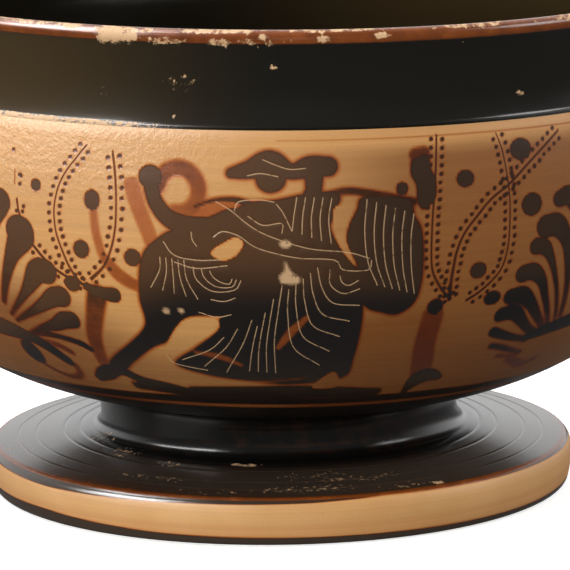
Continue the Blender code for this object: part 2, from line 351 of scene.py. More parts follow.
# %% The right palmette
def right_palmette():
    """Petals that the front view shows, outer ones nearer the handle, and the stem."""
    petals = [
        petal((65.3, 76.8, 2.6), (68.8, 76.6, 2.6), (72, 72.5, 1.6), (74, 65, 1.0), (76.5, 54, 0.8)),
        petal((63, 72.4, 1.9), (65.3, 72, 1.8), (67.6, 69.2, 1.1), (70.5, 63.5, 0.7), (75, 53.5, 0.6)),
        petal((60, 66.2, 2.0), (63, 66.4, 2.0), (66, 64, 1.4), (68.6, 59.5, 1.0), (73, 52.5, 0.7)),
        petal((57.6, 61, 1.8), (61, 61, 2.1), (64.2, 58.8, 1.6), (67.8, 55.2, 1.2), (72, 51.5, 0.9)),
        petal((56.4, 56.6, 1.8), (60, 56.9, 2.0), (63.6, 54.3, 1.4), (67, 51.8, 1.1), (71, 50.2, 0.9)),
        petal((55.9, 52.3, 1.2), (59, 51.2, 1.1), (63.5, 49.9, 0.9), (68.5, 48.9, 0.9)),
        petal((57.4, 48.4, 0.8), (61, 47.6, 0.8), (65, 46.4, 0.7), (69.5, 45.2, 0.6), strength=0.75),
        petal((61.5, 45.2, 0.5), (65, 44.7, 0.5), (69, 44.5, 0.5), strength=0.62, fade=0.45),
    ]
    outer = [
        petal((69.2, 82.7, 1.9), (72.5, 82.8, 2.2), (76, 76, 1.4), (78.5, 62, 0.9)),
        petal((84, 80, 3.6), (82, 70, 1.6), (79.5, 58, 0.9)),
        petal((91, 70, 3.1), (87, 63, 1.4), (81, 55, 0.8)),
        petal((95, 61, 2.6), (90, 56, 1.2), (83, 52, 0.7)),
    ]
    stem = [
        stroke([(67, 49.3, 0.8), (71, 50.1, 1.3), (76, 51.2, 1.7), (84, 52.5, 2.0)], soft=0.7),
        stroke([(66.5, 43.9, 0.9), (70, 42.7, 1.0), (75, 41, 1.0), (79, 42, 0.8)], strength=0.5, soft=0.8),
    ]
    return petals + outer + stem


print("the right palmette has", len(right_palmette()), "marks")

# %% [markdown]
# Two small trees stand beside the figures, painted with diluted slip that fired orange on
# the left and plum brown on the right. Each has black leaves at its foot.

# %% Trees beside the figures
def trees():
    """Trunks, bent stems, leaves at their feet and a bundle that hangs on the right."""
    return [
        stroke([(-42.4, 63, 2.6), (-44.2, 57.5, 2.3), (-46, 52, 2.0), (-46.8, 45, 1.7)], strength=0.66,
               fade=0.52, soft=1.0),
        stroke([(-44.8, 64.9, 0.9), (-42.5, 63.8, 1.3), (-38.2, 63.3, 1.8)], soft=0.5),
        stroke([(-52, 40.1, 1.0), (-48, 42, 2.0), (-43, 43.2, 1.4), (-38, 40.6, 1.3), (-31, 38.8, 1.6),
                (-24, 37.4, 1.2)], soft=0.8),
        stroke([(-41.9, 83, 0.9), (-41.4, 78, 1.0), (-40.2, 73, 1.0)], strength=0.45, soft=0.7),
        stroke([(-32.6, 88.8, 1.9), (-31, 84, 1.8), (-29, 79, 1.7), (-27.3, 74, 1.6)], strength=0.42,
               soft=0.7),
        stroke([(-39.6, 72, 1.1), (-36.5, 68.4, 1.5), (-33.3, 66.4, 1.4), (-30.5, 65.5, 1.3)], strength=0.5,
               soft=0.7),
        stroke([(37.5, 58, 2.7), (37.3, 51, 2.8), (38.6, 46, 2.9), (40, 42, 2.6)], strength=0.5, soft=0.8),
        dab(37.7, 60.4, 2.0, 1.9, soft=0.6),
        stroke([(39, 37.6, 1.2), (40, 40.8, 2.6), (43.5, 41.5, 1.8), (47, 40.6, 0.7)], soft=0.7),
        stroke([(31.6, 95.6, 1.5), (33.6, 95.9, 1.5)], strength=0.6, soft=0.7),
        patch([(31, 94.6), (34.5, 95.3), (35, 92.6), (36.2, 89.6), (36.1, 86), (34.6, 84.2), (33, 83.4),
               (31.9, 85.4), (31.6, 89), (30.5, 91), (30.4, 93)], soft=0.9),
    ]


print("the trees take", len(trees()), "marks")

# %% [markdown]
# Vine tendrils hang between the trees and the palmettes. They grow thicker where they were
# begun, near the tree, and round fruit sits between them.

# %% Tendrils and fruit
def tendrils():
    """Six dotted tendrils, and loose dots at the far left."""
    made = dotted_tendril([(-44, 97), (-46.4, 94), (-48.4, 91.5), (-50.2, 88.5), (-51.4, 85), (-51.9, 81.5),
                           (-51.5, 77), (-50.3, 73.3), (-48.8, 69.5), (-46.8, 66.3), (-45, 64.7)],
                          (0.1, 0.34))
    made += dotted_tendril([(-37.4, 96), (-36.6, 91), (-36.3, 86), (-36.5, 80), (-37.5, 75), (-39.5, 70.5),
                            (-41.5, 68.3), (-43.3, 66.8)], (0.2, 0.4), gap=2.3)
    made += dotted_tendril([(-57.8, 73.2), (-55, 70.3), (-52, 68), (-49, 66.5), (-45.2, 65)], (0.3, 0.3))
    made += dotted_tendril([(36.9, 99.6), (36.3, 92), (35.8, 86), (35.4, 80), (35.4, 73), (36, 69),
                            (37.6, 66), (39.6, 63.5), (41.2, 62)], (0.18, 0.4))
    made += dotted_tendril([(69.5, 98), (65, 95), (60, 91.5), (54.8, 87.5), (50, 84.5), (46.5, 81),
                            (43.5, 77.5), (41.7, 73.5), (41, 69), (40.8, 65), (41, 62)], (0.15, 0.5),
                           aside=1.5)
    made += dotted_tendril([(52, 99), (53.3, 95), (54.3, 89), (54.9, 84), (55, 78), (54.8, 73),
                            (53.8, 68.5), (51.5, 65.5), (48.5, 63), (45.5, 61.3)], (0.12, 0.28))
    made += [stroke([(-62.6, 90.2), (-62.6, 86.8)], 0.1, soft=0.2, strength=0.5),
             stroke([(-62, 83.6), (-61.7, 81.5), (-61.1, 79.4)], 0.22, soft=0.2, strength=0.85)]
    made += [dot_mark(across, height, 0.42) for across, height in
             [(-63.4, 94.5), (-61.3, 89.1), (-60.9, 88.8), (-61.2, 87), (-60.2, 82), (-60.5, 80.8),
              (-62.2, 80.8), (-60, 78.8)]]
    return made


def fruit(places):
    """Round fruit between the tendrils."""
    return [dab(across, height, wide, tall, soft=0.5) for across, height, wide, tall in places]


print("the tendrils and their dots take", len(tendrils()), "marks")

# %% [markdown]
# ## The figures
# The picture keeps the masses of such a scene: a draped figure strides to the right with an
# arm stretched out over a tall bundle of cloth, and a second, seated shape is at its knees.
# The figures are plain stock figures without faces. The body masses are patches with a soft
# edge, because the slip was filled in quickly with a loaded brush.

# %% Silhouettes of the two figures
def figures():
    """The bodies, the raised arm, a loop of cloth and the ground they stand on."""
    soft = 1.5
    loop = [radians(turn) for turn in range(170, -130, -30)]
    return [
        dab(-28.3, 91, 2.7, 2.6, soft=0.6),
        stroke([(-28, 88.6, 1.7), (-27, 85.4, 1.7), (-24.4, 82.2, 1.9), (-20, 80.2, 2.4), (-16, 79.8, 2.6)],
               soft=1.3),
        stroke([(-21.9 + 4.7 * cos(turn), 88.2 + 5.0 * sin(turn), 1.8) for turn in loop],
               strength=0.62, fade=0.5, soft=1.1),
        stroke([(-18, 84, 1.9), (-13.5, 84.6, 2.1), (-9, 84.3, 1.9), (-6, 83.6, 1.4)], strength=0.44,
               soft=0.8),
        stroke([(-18, 84.8, 0.4), (-14, 86.2, 0.5), (-9, 86.4, 0.7), (-4, 84.5, 1.2)], strength=0.8,
               soft=1.0),
        patch([(-22, 80), (-27, 77), (-30.2, 73.5), (-31.3, 69), (-31.8, 63), (-31.5, 56.5), (-36.5, 51.5),
               (-45, 45.3), (-43, 42.5), (-38, 45.8), (-31, 50.5), (-25.5, 53), (-22.5, 57.5), (-19, 59.3),
               (-10, 59.5), (-4, 62), (-1, 72), (-4, 80), (-9, 84.5), (-15, 82.5)], soft=soft),
        patch([(-12, 81), (-7, 85.5), (0, 86.5), (8, 88), (14, 87.6), (13, 83), (12, 80), (14.5, 75),
               (18.3, 70), (20, 62), (20, 55), (19.4, 48), (18.8, 43.5), (14, 42), (3, 41), (-10, 42.3),
               (-20, 44), (-26, 46.6), (-20, 51), (-14, 55.8), (-13, 59), (-6, 63), (-3, 72), (-9, 77)],
              soft=soft),
        patch([(19, 86.6), (24, 86.8), (30, 85.8), (31.2, 82), (32.8, 79), (33.5, 73), (33.3, 65.5),
               (32, 61.5), (28.5, 59.2), (24.8, 59.8), (20.5, 61.5), (17.5, 67), (18.3, 71), (15.8, 76),
               (16.2, 80.5), (18, 84)], soft=soft),
        stroke([(10, 87, 1.0), (16, 88.2, 0.9), (24, 86.9, 0.9), (31, 85.2, 1.0)], strength=0.7, soft=0.8),
        stroke([(-41, 38.8, 1.0), (-34, 38.6, 1.4), (-27, 37.6, 1.2)], soft=soft),
        stroke([(-20, 46.5, 1.4), (-12, 44.2, 1.6), (-2, 43.5, 1.2), (8, 44.3, 1.0)], soft=soft),
        stroke([(-24, 38, 1.6), (-8, 38.2, 2.0), (10, 38.3, 2.0), (30, 37.6, 1.0)], soft=0.8),
    ]


print("the figures take", len(figures()), "marks")

# %% [markdown]
# The head is our own: a round cap of hair under a broad wreath, with no features. The
# openings are wiped out of the slip, so that clay shows between arm, body and cloth.

# %% Heads and openings
def heads():
    """A round head, a wreath laid over it and the neck."""
    return [
        dab(-1.2, 91.2, 3.4, 3.2, soft=1.6),
        stroke([(-10, 92.3, 1.1), (-6, 93.1, 2.0), (-1.3, 94.6, 2.7), (3.3, 92.7, 1.7), (7.5, 93.7, 2.3),
                (11.6, 93.7, 2.1)], soft=1.6),
        stroke([(8.4, 92, 2.1), (8.3, 88.5, 1.8), (7.8, 86.3, 2.4)], soft=1.6),
    ]


def openings():
    """Clay that shows between the arm, the legs and the cloth."""
    return [
        patch([(-14.7, 74.3), (-12, 76.6), (-9, 78), (-7.2, 76.6), (-9, 73.8), (-12, 72.6)],
              wipes=True, soft=0.45),
        patch([(-24, 56), (-20.5, 58.6), (-14.3, 58.7), (-14, 56), (-20, 52), (-29.5, 48.2), (-27.5, 51)],
              wipes=True, soft=0.45),
        patch([(12.8, 84.4), (15, 85.2), (17.3, 84.6), (15.9, 80.5), (15.4, 77.5), (17.6, 71.5),
               (14.5, 75.3), (12.9, 79.5)], wipes=True, soft=0.4),
        patch([(10, 39.9), (15, 44.6), (17, 40)], wipes=True, soft=0.5),
    ]


def thin_places():
    """Brown places where the slip was laid too thin over the skirt and by the feet."""
    return [
        stroke([(0.5, 51.5, 0.8), (3.5, 55.5, 1.2), (7, 59, 0.8)], strength=0.45, soft=0.9, wipes=True),
        stroke([(-20, 49.8, 0.5), (-14, 48.8, 0.9), (-9, 46.6, 0.6)], strength=0.45, soft=0.9, wipes=True),
        stroke([(-22, 42.6, 0.4), (-12, 41.5, 0.5), (-2, 41.9, 0.5), (7, 42.8, 0.4)], strength=0.4,
               soft=0.8, wipes=True),
    ]


print("wiped out of the slip:", len(openings() + thin_places()), "places")

# %% [markdown]
# ## Lines cut through the slip
# With a point, the painter cut folds and hems through the black down to the clay. Folds
# come in fans that change evenly from the first line to the last, so we set only those two
# and work out the ones between.

# %% Incised lines
def fan(first, last, count):
    """Lines that change evenly from the first to the last."""
    first, last = np.array(first, float), np.array(last, float)
    return [first + (last - first) * step / (count - 1) for step in range(count)]


def cloth_folds():
    """Fans of folds in the bundle, the sleeve, the skirt and the cloth at the back."""
    lines = fan([(20.2, 86.2), (19.7, 79), (20.6, 72), (23, 66.5)],
                [(31, 82.5), (30.4, 77), (30.8, 70), (32, 64)], 6)
    lines += fan([(4.5, 87), (3.9, 83), (3.5, 79.5)], [(12.3, 86.8), (11.6, 82), (12.2, 76.5)], 5)
    lines += fan([(-4.5, 57), (-5.5, 53), (-6.3, 49), (-7, 45)],
                 [(1.3, 67), (0.3, 60), (-0.5, 53), (-0.2, 44.5)], 4)
    lines += fan([(2.8, 66), (2.6, 60), (4.2, 51.5), (11, 46.5)],
                 [(9.2, 71), (10.3, 66.3), (13, 62.6), (19.2, 61.8)], 5)
    lines += fan([(-5.7, 58.5), (-8.3, 52), (-13, 44.5)], [(-12.6, 54), (-16.5, 50.6), (-24, 47.6)], 3)
    lines += fan([(-26.3, 73), (-26.5, 70), (-28.8, 65.8)], [(-20.8, 72.5), (-20.3, 68), (-18, 63.4)], 5)
    lines += fan([(-18.8, 71), (-18, 68), (-14.5, 65.4), (-9.5, 65.8), (-8, 68)],
                 [(-15, 70.2), (-14.3, 68.8), (-12.6, 67.6), (-10.6, 67.2), (-10, 68.4)], 3)
    lines += fan([(12, 70.5), (12.2, 67), (15.2, 64.8), (19, 65.8)],
                 [(14.3, 69), (14.8, 67.5), (16.4, 66.7), (18.6, 67.8)], 2)
    return lines


print("the folds are", len(cloth_folds()), "lines")

# %% [markdown]
# Single lines draw the arms, the hems and the band of the wreath. In a few places a flake of
# slip has come away with the cut and left a small pale chip.

# %% Single lines and chips
def body_lines():
    """Lines of the arms, the collar, the belt, the hem and the wreath."""
    return [
        [(-13.4, 86), (-10, 84), (-7, 81.5), (-3.5, 79.2), (2, 77), (8, 75.3), (16, 74.4), (21, 72.8)],
        [(-14, 78), (-12, 79.3), (-8.5, 78.4), (-5, 76), (-1, 74.6), (5, 73.3), (13, 72.7), (15, 70.4),
         (20.7, 70.2), (21.4, 72.4)],
        [(-9.3, 84), (-8.4, 86), (-4, 86.5), (-0.5, 86)],
        [(0, 85.5), (1.5, 83.5), (3.4, 79.5)],
        [(-6.3, 82.8), (-3, 80.8), (1.2, 81.2), (1.2, 79)],
        [(-3, 95.3), (0, 94.1), (3, 93.2), (6.5, 93.4)],
        [(-6.4, 91.8), (-3.5, 92.3), (0.4, 91.6)],
        [(-25.4, 76.6), (-23, 73.6), (-18, 72.6), (-12.5, 72.8)],
        [(-23, 72), (-18, 70.7), (-11, 71.5)],
        [(-19, 79), (-18.8, 77.3), (-17.8, 75.8)],
        [(-18, 60.2), (-14, 59.1), (-10.5, 59.8)],
        [(-28, 48.9), (-26.6, 46.7), (-23, 45.7), (-18, 44.9)],
        [(-15, 63.4), (-12, 63), (-9.3, 63.9)],
    ]


def chips():
    """Small places where a flake of the slip has come away."""
    return [dab(-25.8, 60.2, 0.8, 0.6), dab(-22.2, 60.4, 0.6, 0.5), dab(2.0, 76.5, 1.3, 0.8),
            patch([(2, 72.6), (3, 70.4), (5.2, 68.6), (4.6, 67.4), (1.2, 67.6), (0.8, 69.2), (1.9, 70.4)])]


print("single lines:", len(body_lines()), "and chips:", len(chips()))

# %% [markdown]
# ## Wrapping the picture round the wall
# The flat sheet is as wide as half the way round the bowl. Up to the ground line it follows
# the height of the wall, and below that the wall turns under, so there it follows the
# radius. That keeps the faces the same size all the way down to the stem.

# %% From the flat sheet to the wall
TURN_UNDER = 34.0
TURN_UNDER_RADIUS = wall_radius(TURN_UNDER)
WALL_START_RADIUS = STEM_RADIUS + STEM_FILLET / 2
SHEET_BOTTOM = TURN_UNDER - (TURN_UNDER_RADIUS - WALL_START_RADIUS)
SHEET_HALF = pi * BODY_RADIUS / 2


def sheet_to_profile(level):
    """Radius and height of the wall at a level of the flat sheet."""
    if level >= TURN_UNDER:
        return wall_radius(level), level
    radius = TURN_UNDER_RADIUS - (TURN_UNDER - level)
    return radius, wall_height(radius)


def sheet_level(height):
    """Level on the sheet of a height below the place where the wall turns under."""
    return TURN_UNDER - (TURN_UNDER_RADIUS - wall_radius(height))


print("the flat sheet is", round(2 * SHEET_HALF), "mm wide")

# %% [markdown]
# A picture needs many small faces where the slip has an edge and few where it is plain. We
# scatter points on the sheet: a coarse grid everywhere, a finer grid near the edges of
# marks, and rows of points along every thin line.

# %% Points on the sheet
COARSE_GRID = 1.5
FINE_GRID = 0.5


def grid(spacing, low, high):
    """A square grid of points over the sheet, between two levels."""
    across = np.arange(-SHEET_HALF + spacing / 2, SHEET_HALF, spacing)
    levels = np.arange(low + spacing / 2, high, spacing)
    return np.array([(place, level) for level in levels for place in across])


def thin_line_points(line, half_width, margin, spacing=0.45):
    """Points along a thin line: on it, at its edges and just outside them."""
    made = []
    if len(line) < 4:
        turns = [pi * step / 4 for step in range(8)]
        for ring in (half_width, half_width + margin):
            made += [(line[0, 0] + ring * cos(turn), line[0, 1] + ring * sin(turn)) for turn in turns]
        return np.array(made + [tuple(line[0, :2])])
    route = smooth(line[:, :2], step=spacing)
    along = np.gradient(route, axis=0)
    aside = np.stack([-along[:, 1], along[:, 0]], 1) / np.hypot(*along.T)[:, None].clip(1e-6)
    for offset in (0.0, half_width, -half_width, half_width + margin, -half_width - margin):
        made.append(route + aside * offset)
    for end, beyond in ((route[0], route[0] - route[1]), (route[-1], route[-1] - route[-2])):
        beyond = beyond / max(hypot(*beyond), 1e-6)
        made.append([end + beyond * (half_width + margin)])
    return np.vstack(made)


print("the coarse grid has", len(grid(COARSE_GRID, SHEET_BOTTOM, SHOULDER_HEIGHT)), "points")

# %% [markdown]
# At every point we then ask all marks how thick they left the slip. The thickest mark wins
# where strokes overlap, as it does with a brush, and a wiping mark takes slip away.

# %% Slip at a point
def slip_on(places, marks):
    """Thickness of the slip at places on the sheet, and the distance to the nearest edge."""
    slip = np.zeros(len(places))
    edge = np.full(len(places), 99.0)
    for mark in marks:
        near = np.flatnonzero(((places > mark.low) & (places < mark.high)).all(1))
        if not len(near):
            continue
        inside, strength = mark.depth(places[near])
        cover = rise(inside, -0.7 * mark.soft, 0.5 * mark.soft)
        if mark.wipes:
            slip[near] *= 1 - cover * strength
        else:
            slip[near] = np.maximum(slip[near], cover * strength)
        edge[near] = np.minimum(edge[near], np.abs(inside))
    return slip, edge


body_slip, body_edge = slip_on(np.array([(-20.0, 66.0)]), figures())
print("in the left figure: slip", body_slip.round(2), "and", body_edge.round(1), "mm to an edge")

# %% [markdown]
# The ground under the figures is a black band, and a thin reserved line below it was left
# brown. Everything lower, down to the stem, is black. These bands run right round, so they
# are worked out from the height, with a little wander from the painter's hand. The reserved
# line shows best in the middle and on the right, where the brush spared it more fully.

# %% Bands below the picture
GROUND_LINE = 36.3
RESERVED_LINE = (32.7, 34.1)


def band_slip(across, height):
    """Slip of the plain bands: black ground, reserved line, black underside."""
    wander = 0.25 * noise.noise(Vector((across * 0.05, height * 0.2, 5.0)))
    ground = rise(GROUND_LINE + wander - height, -0.35, 0.35)
    reserved = rise(height - RESERVED_LINE[0], -0.15, 0.15)
    reserved *= rise(RESERVED_LINE[1] - height, -0.15, 0.15)
    thin = 0.5 + 0.22 * rise(across, -60.0, -10.0) * rise(-across, -120.0, -60.0)
    return ground * (1 - thin * reserved)


print("slip on the reserved line:", round(band_slip(0.0, sum(RESERVED_LINE) / 2), 2))

# %% [markdown]
# Painted shade: towards the right and low down, where less light falls, the clay is painted
# redder and darker and the slip a truer black, and at the lit upper left the slip is painted
# a lighter brown black. The burnished skin of the clay flaked at the upper left, where it is
# rough and pitted now. Three functions give these numbers for a place on the front. The back
# isn't known, so it takes one middling value of each.

# %% Painted shade, and rough clay
def wall_painted_shade(across, height):
    """Painted shade: how much redder and darker the clay is painted, most on the right and low down."""
    right = 0.9 * rise(across, -10.0, 38.0)
    right *= 1 - 0.8 * rise(height, 95.0, 99.0)
    start = np.interp(across, (-60, -30, 5, 20, 60), (71, 58, 55, 66, 60))
    deepest = np.interp(across, (-60, -30, 20, 45), (0.95, 0.65, 0.55, 0.1))
    low = deepest * rise(start - height, 0.0, 15.0)
    return min(right + low, 1.0)


def wall_painted_gloss_shade(across, height):
    """Painted light and shade on the gloss: lighter brown at the lit upper left, black low down and on the
    right.
    """
    height = height + 0.35 * max(0.0, -across - 20)
    low = rise(-height, -76.0, -60.0)
    return max(low, 0.65 * rise(across, -10.0, 30.0))


def pitting(across, height):
    """How rough the clay is: most at the upper left of the front."""
    left = rise(-across, -5.0, 35.0)
    high = rise(height, 78.0, 95.0)
    return 0.12 + 0.88 * left * high


# Painted shade of the clay at the left and at the right.
print("kiln tone at the left and the right:", round(wall_painted_shade(-40, 80), 2), round(wall_painted_shade(40, 80), 2))

# %% [markdown]
# Each vertex keeps what the brush and the point did there, and the painted light and shade,
# as named numbers, and the material reads them. Slip is the thickness of the gloss, cut is an
# incised line, pitted is how rough the clay is, wear is how far the slip has rubbed off,
# toned is painted shade on the clay, and deep is painted light and
# shade on the gloss.

# %% A mesh that carries numbers
NUMBERS = ("slip", "cut", "pitted", "wear", "toned", "deep")


def make_piece(name, vertices, faces, **values):
    """A smooth mesh object with one value for each vertex under each of the NUMBERS."""
    mesh = bpy.data.meshes.new(name)
    mesh.from_pydata(vertices, [], faces)
    mesh.shade_smooth()
    for number in NUMBERS:
        layer = mesh.attributes.new(number, "FLOAT", "POINT")
        given = values.get(number, np.zeros(len(vertices)))
        layer.data.foreach_set("value", np.asarray(given, np.float32))
    piece = bpy.data.objects.new(name, mesh)
    bpy.context.scene.collection.objects.link(piece)
    print(name, "has", len(mesh.vertices), "vertices and", len(mesh.polygons), "faces")
    return piece


print("each vertex carries", len(NUMBERS), "numbers")

# %% [markdown]
# Then the flat sheet is carried to its half of the wall. The incised lines are real
# grooves, a tenth of a millimetre deep, and faint wheel rings keep the wall from being
# perfectly smooth. Both only go inward, so the surface never leaves the solid's size.

# %% Carry the sheet to the wall
CUT_DEPTH = 0.10
WHEEL_DEPTH = 0.03
BACK_PITS = 0.2
# The back's middling painted shade of the clay and painted light and shade of the gloss.
BACK_PAINTED_SHADE = 0.35
BACK_PAINTED_GLOSS_SHADE = 0.6
FRONT_FADE = (75.0, 130.0)


def wrap(name, middle, flat, faces, slip, cut):
    """Carry the flat, triangulated sheet to its half of the wall."""
    vertices, total, pitted, toned, deep = [], [], [], [], []
    for (across, level), painted, groove in zip(flat, slip, cut):
        radius, height = sheet_to_profile(level)
        wheel = WHEEL_DEPTH * noise.noise(Vector((across * 0.004, height * 0.35, 1.0)))
        radius += min(wheel - WHEEL_DEPTH, 0.0) - CUT_DEPTH * groove
        vertices.append(around(middle + across / BODY_RADIUS, radius, height))
        total.append(max(painted, band_slip(across, height)) if height < GROUND_LINE + 2 else painted)
        shown = 1 - rise(abs(across), *FRONT_FADE) if middle == 0 else 0.0
        pitted.append(BACK_PITS + (pitting(across, height) - BACK_PITS) * shown)
        # Painted shade on the clay and painted light and shade on the gloss, fading to the back's values.
        toned.append(BACK_PAINTED_SHADE + (wall_painted_shade(across, height) - BACK_PAINTED_SHADE) * shown)
        deep.append(BACK_PAINTED_GLOSS_SHADE + (wall_painted_gloss_shade(across, height) - BACK_PAINTED_GLOSS_SHADE) * shown)
    return make_piece(name, vertices, faces, slip=total, cut=cut, pitted=pitted, toned=toned, deep=deep)


print("at 100 mm from the middle the front keeps", round(1 - rise(100, *FRONT_FADE), 2), "of its own tone")

# %% [markdown]
# One half of the wall is now a few steps: scatter the points, add rows along the border and
# the bands, join them all with a Delaunay triangulation, which avoids thin splinters, and
# wrap the result. All these sizes are in millimetres on the sheet.

# %% One half of the painted wall
CUT_HALF_WIDTH = 0.07
THIN_LINE = 0.75
LINE_MARGIN = 0.22
CUT_MARGIN = 0.12
NEAR_EDGE = 1.3
NEAR_GROUND = 0.8
NEAR_RESERVED = 0.5
CLEAR_OF_CUT = 0.3
CLEAR_OF_LINE = 0.35
ROW_POINTS = 401
RESERVED_ROWS = (32.35, 32.55, 32.7, 32.85, 33.05)
SHOULDER_ROWS = (98.6, 99.4, 100.2, 100.9)


def scattered(marks, thin, cut_marks, flakes):
    """Grid points: fine ones only near the edges of marks, and none on a thin line."""
    fine = grid(FINE_GRID, TURN_UNDER, SHOULDER_HEIGHT)
    edge = slip_on(fine, marks + flakes)[1]
    near_ground = np.abs(fine[:, 1] - GROUND_LINE) < NEAR_GROUND
    near_reserved = np.abs(fine[:, 1] - RESERVED_LINE[1]) < NEAR_RESERVED
    fine = fine[(edge < NEAR_EDGE) | near_ground | near_reserved]
    points = np.vstack([grid(COARSE_GRID, SHEET_BOTTOM, SHOULDER_HEIGHT), fine])
    clear = slip_on(points, cut_marks)[1] > CLEAR_OF_CUT
    return points[clear & (slip_on(points, thin)[1] > CLEAR_OF_LINE)]


def border_rows():
    """Rows of points on the border, along the reserved line and under the shoulder."""
    side_levels = np.append(np.arange(SHEET_BOTTOM, SHOULDER_HEIGHT, COARSE_GRID), SHOULDER_HEIGHT)
    made = [(side * SHEET_HALF, level) for side in (-1, 1) for level in side_levels]
    steps = np.linspace(-SHEET_HALF, SHEET_HALF, ROW_POINTS)
    made += [(across, level) for level in (SHEET_BOTTOM, SHOULDER_HEIGHT) for across in steps[1:-1]]
    levels = [sheet_level(height) for height in RESERVED_ROWS] + list(SHOULDER_ROWS)
    return made + [(across, level) for level in levels for across in steps]


def painted_wall(name, middle, marks, cuts, flakes):
    """One half of the painted wall, facing the angle called middle."""
    thin = [mark for mark in marks if not mark.filled and mark.line[:, 2].max() < THIN_LINE]
    cut_marks = [stroke(line, CUT_HALF_WIDTH, soft=0.1) for line in cuts]
    rows = [thin_line_points(mark.line, float(mark.line[:, 2].max()), LINE_MARGIN) for mark in thin]
    rows += [thin_line_points(mark.line, CUT_HALF_WIDTH, CUT_MARGIN, 0.35) for mark in cut_marks]
    lines = np.vstack(rows)
    lines = lines[(lines[:, 1] > SHEET_BOTTOM + 1) & (lines[:, 1] < SHOULDER_HEIGHT - 0.4)]
    points = np.vstack([scattered(marks, thin, cut_marks, flakes), lines, border_rows()])
    flat, _, faces, _, _, _ = delaunay_2d_cdt([Vector(point) for point in points], [], [], 0, 0.02)
    flat = np.array([tuple(point) for point in flat])
    cut = slip_on(flat, cut_marks + flakes)[0]
    return wrap(name, middle, flat, faces, slip_on(flat, marks)[0], cut)


print("the border and the bands take", len(border_rows()), "points")

# %% [markdown]
# ## The two pictures
# The front carries the figures with all their details. The back isn't known, so it repeats
# the palmettes and the figures in the same hand, plainer and with only the folds cut in.

# %% Paint the front and the back
front_marks = left_palmette() + right_palmette() + trees() + tendrils()
front_marks += fruit([(-56.7, 87.2, 1.3, 1.4), (-42.2, 85, 1.9, 2.3), (-45.2, 73.6, 2.0, 2.1),
                      (-32.7, 72.5, 2.0, 2.0), (-48.5, 65.2, 1.9, 1.9), (28.3, 88.3, 1.4, 1.4),
                      (43.5, 89.6, 2.2, 1.9), (58.3, 95, 2.9, 2.4), (61, 82.3, 2.8, 2.6),
                      (47.5, 68.3, 2.1, 1.9), (52.5, 61.2, 2.3, 1.7)])
front_marks += figures() + heads() + openings() + thin_places()
front_marks.append(stroke([(0, 99.4), (40, 99.5), (78, 99.4)], 0.1, soft=0.25, strength=0.2, fade=0.5))
back_marks = left_palmette() + right_palmette() + figures() + heads() + openings()
picture_front = painted_wall("picture_front", 0.0, front_marks, cloth_folds() + body_lines(), chips())
picture_back = painted_wall("picture_back", pi, back_marks, cloth_folds(), [])

# %% [markdown]
# ## One material for clay and slip
# The body is fine red-firing clay, smoothed on the wheel and burnished, so it is warm
# orange and only slightly glossy. The slip on it sinters to a dark glassy skin: black and
# smooth where thick, brown where thin. One material serves the whole bowl, because its
# colour and gloss follow the slip number on the mesh. Colours are sRGB hex values, as a
# colour picker gives them, and one function turns them to the linear values shaders use.
# Another adds a node with its settings and links, so that a layer reads as a short list.
# A Mix node that mixes colours takes them at its sockets 6 and 7 and gives them at 2.

# %% Helpers for materials
MIX_A, MIX_B, MIX_RESULT = 6, 7, 2


def linear(code):
    """An sRGB hex colour as linear red, green, blue and alpha."""
    shares = [int(code[place:place + 2], 16) / 255 for place in (1, 3, 5)]
    return (*[share / 12.92 if share <= 0.04045 else ((share + 0.055) / 1.055) ** 2.4
              for share in shares], 1.0)


def add_node(tree, kind, settings=None, links=None):
    """Add one node, set its properties and input values, and link its inputs."""
    node = tree.nodes.new(kind)
    for name, value in (settings or {}).items():
        if isinstance(name, str) and hasattr(node, name):
            setattr(node, name, value)
        else:
            node.inputs[name].default_value = value
    for name, source in (links or {}).items():
        tree.links.new(source, node.inputs[name])
    return node


print("clay in linear light:", [round(value, 3) for value in linear("#CE9656")])

# %% [markdown]
# All patterns are noise at real sizes in millimetres: rings that the wheel left about
# 1.4 mm apart, streaks of the brush, blotches from the kiln, and grit in the rough clay. The
# true grain of the clay is too fine to show, so it is drawn as coarse as 0.35 mm. Wheel
# marks run round the bowl, so their noise reads only the radius and the height.

# %% Numbers from the mesh, and patterns
RING_SPACING = 1.4
STREAK = 4.0
GRAIN = 0.35
GRIT = 1.3
BLOTCH = 28.0


def read_numbers(tree):
    """The numbers that each vertex carries, by name."""
    return {name: add_node(tree, "ShaderNodeAttribute", {"attribute_name": name}).outputs["Fac"]
            for name in NUMBERS}


def patterns(tree, chip_size):
    """The noises of clay and slip, by name."""
    place = add_node(tree, "ShaderNodeTexCoord").outputs["Object"]
    split = add_node(tree, "ShaderNodeSeparateXYZ", links={0: place})
    flat = add_node(tree, "ShaderNodeCombineXYZ", links={0: split.outputs[0], 1: split.outputs[1]})
    radius = add_node(tree, "ShaderNodeVectorMath", {"operation": "LENGTH"}, {0: flat.outputs[0]})
    rings = add_node(tree, "ShaderNodeCombineXYZ", links={0: radius.outputs["Value"], 1: split.outputs[2]})
    made = {}
    for name, where, size, detail, roughness in (
        ("wheel", rings.outputs[0], RING_SPACING, 4.0, 0.6),
        ("blotch", place, BLOTCH, 3.0, 0.5),
        ("grain", place, GRAIN, 2.0, 0.5),
        ("streak", place, STREAK, 5.0, 0.65),
        ("chip", place, chip_size, 6.0, 0.7),
        ("grit", place, GRIT, 5.0, 0.6),
    ):
        settings = {"Scale": 1 / (size * MM), "Detail": detail, "Roughness": roughness}
        made[name] = add_node(tree, "ShaderNodeTexNoise", settings, {"Vector": where}).outputs["Fac"]
    return made


print("wheel rings to a centimetre:", round(10 / RING_SPACING))

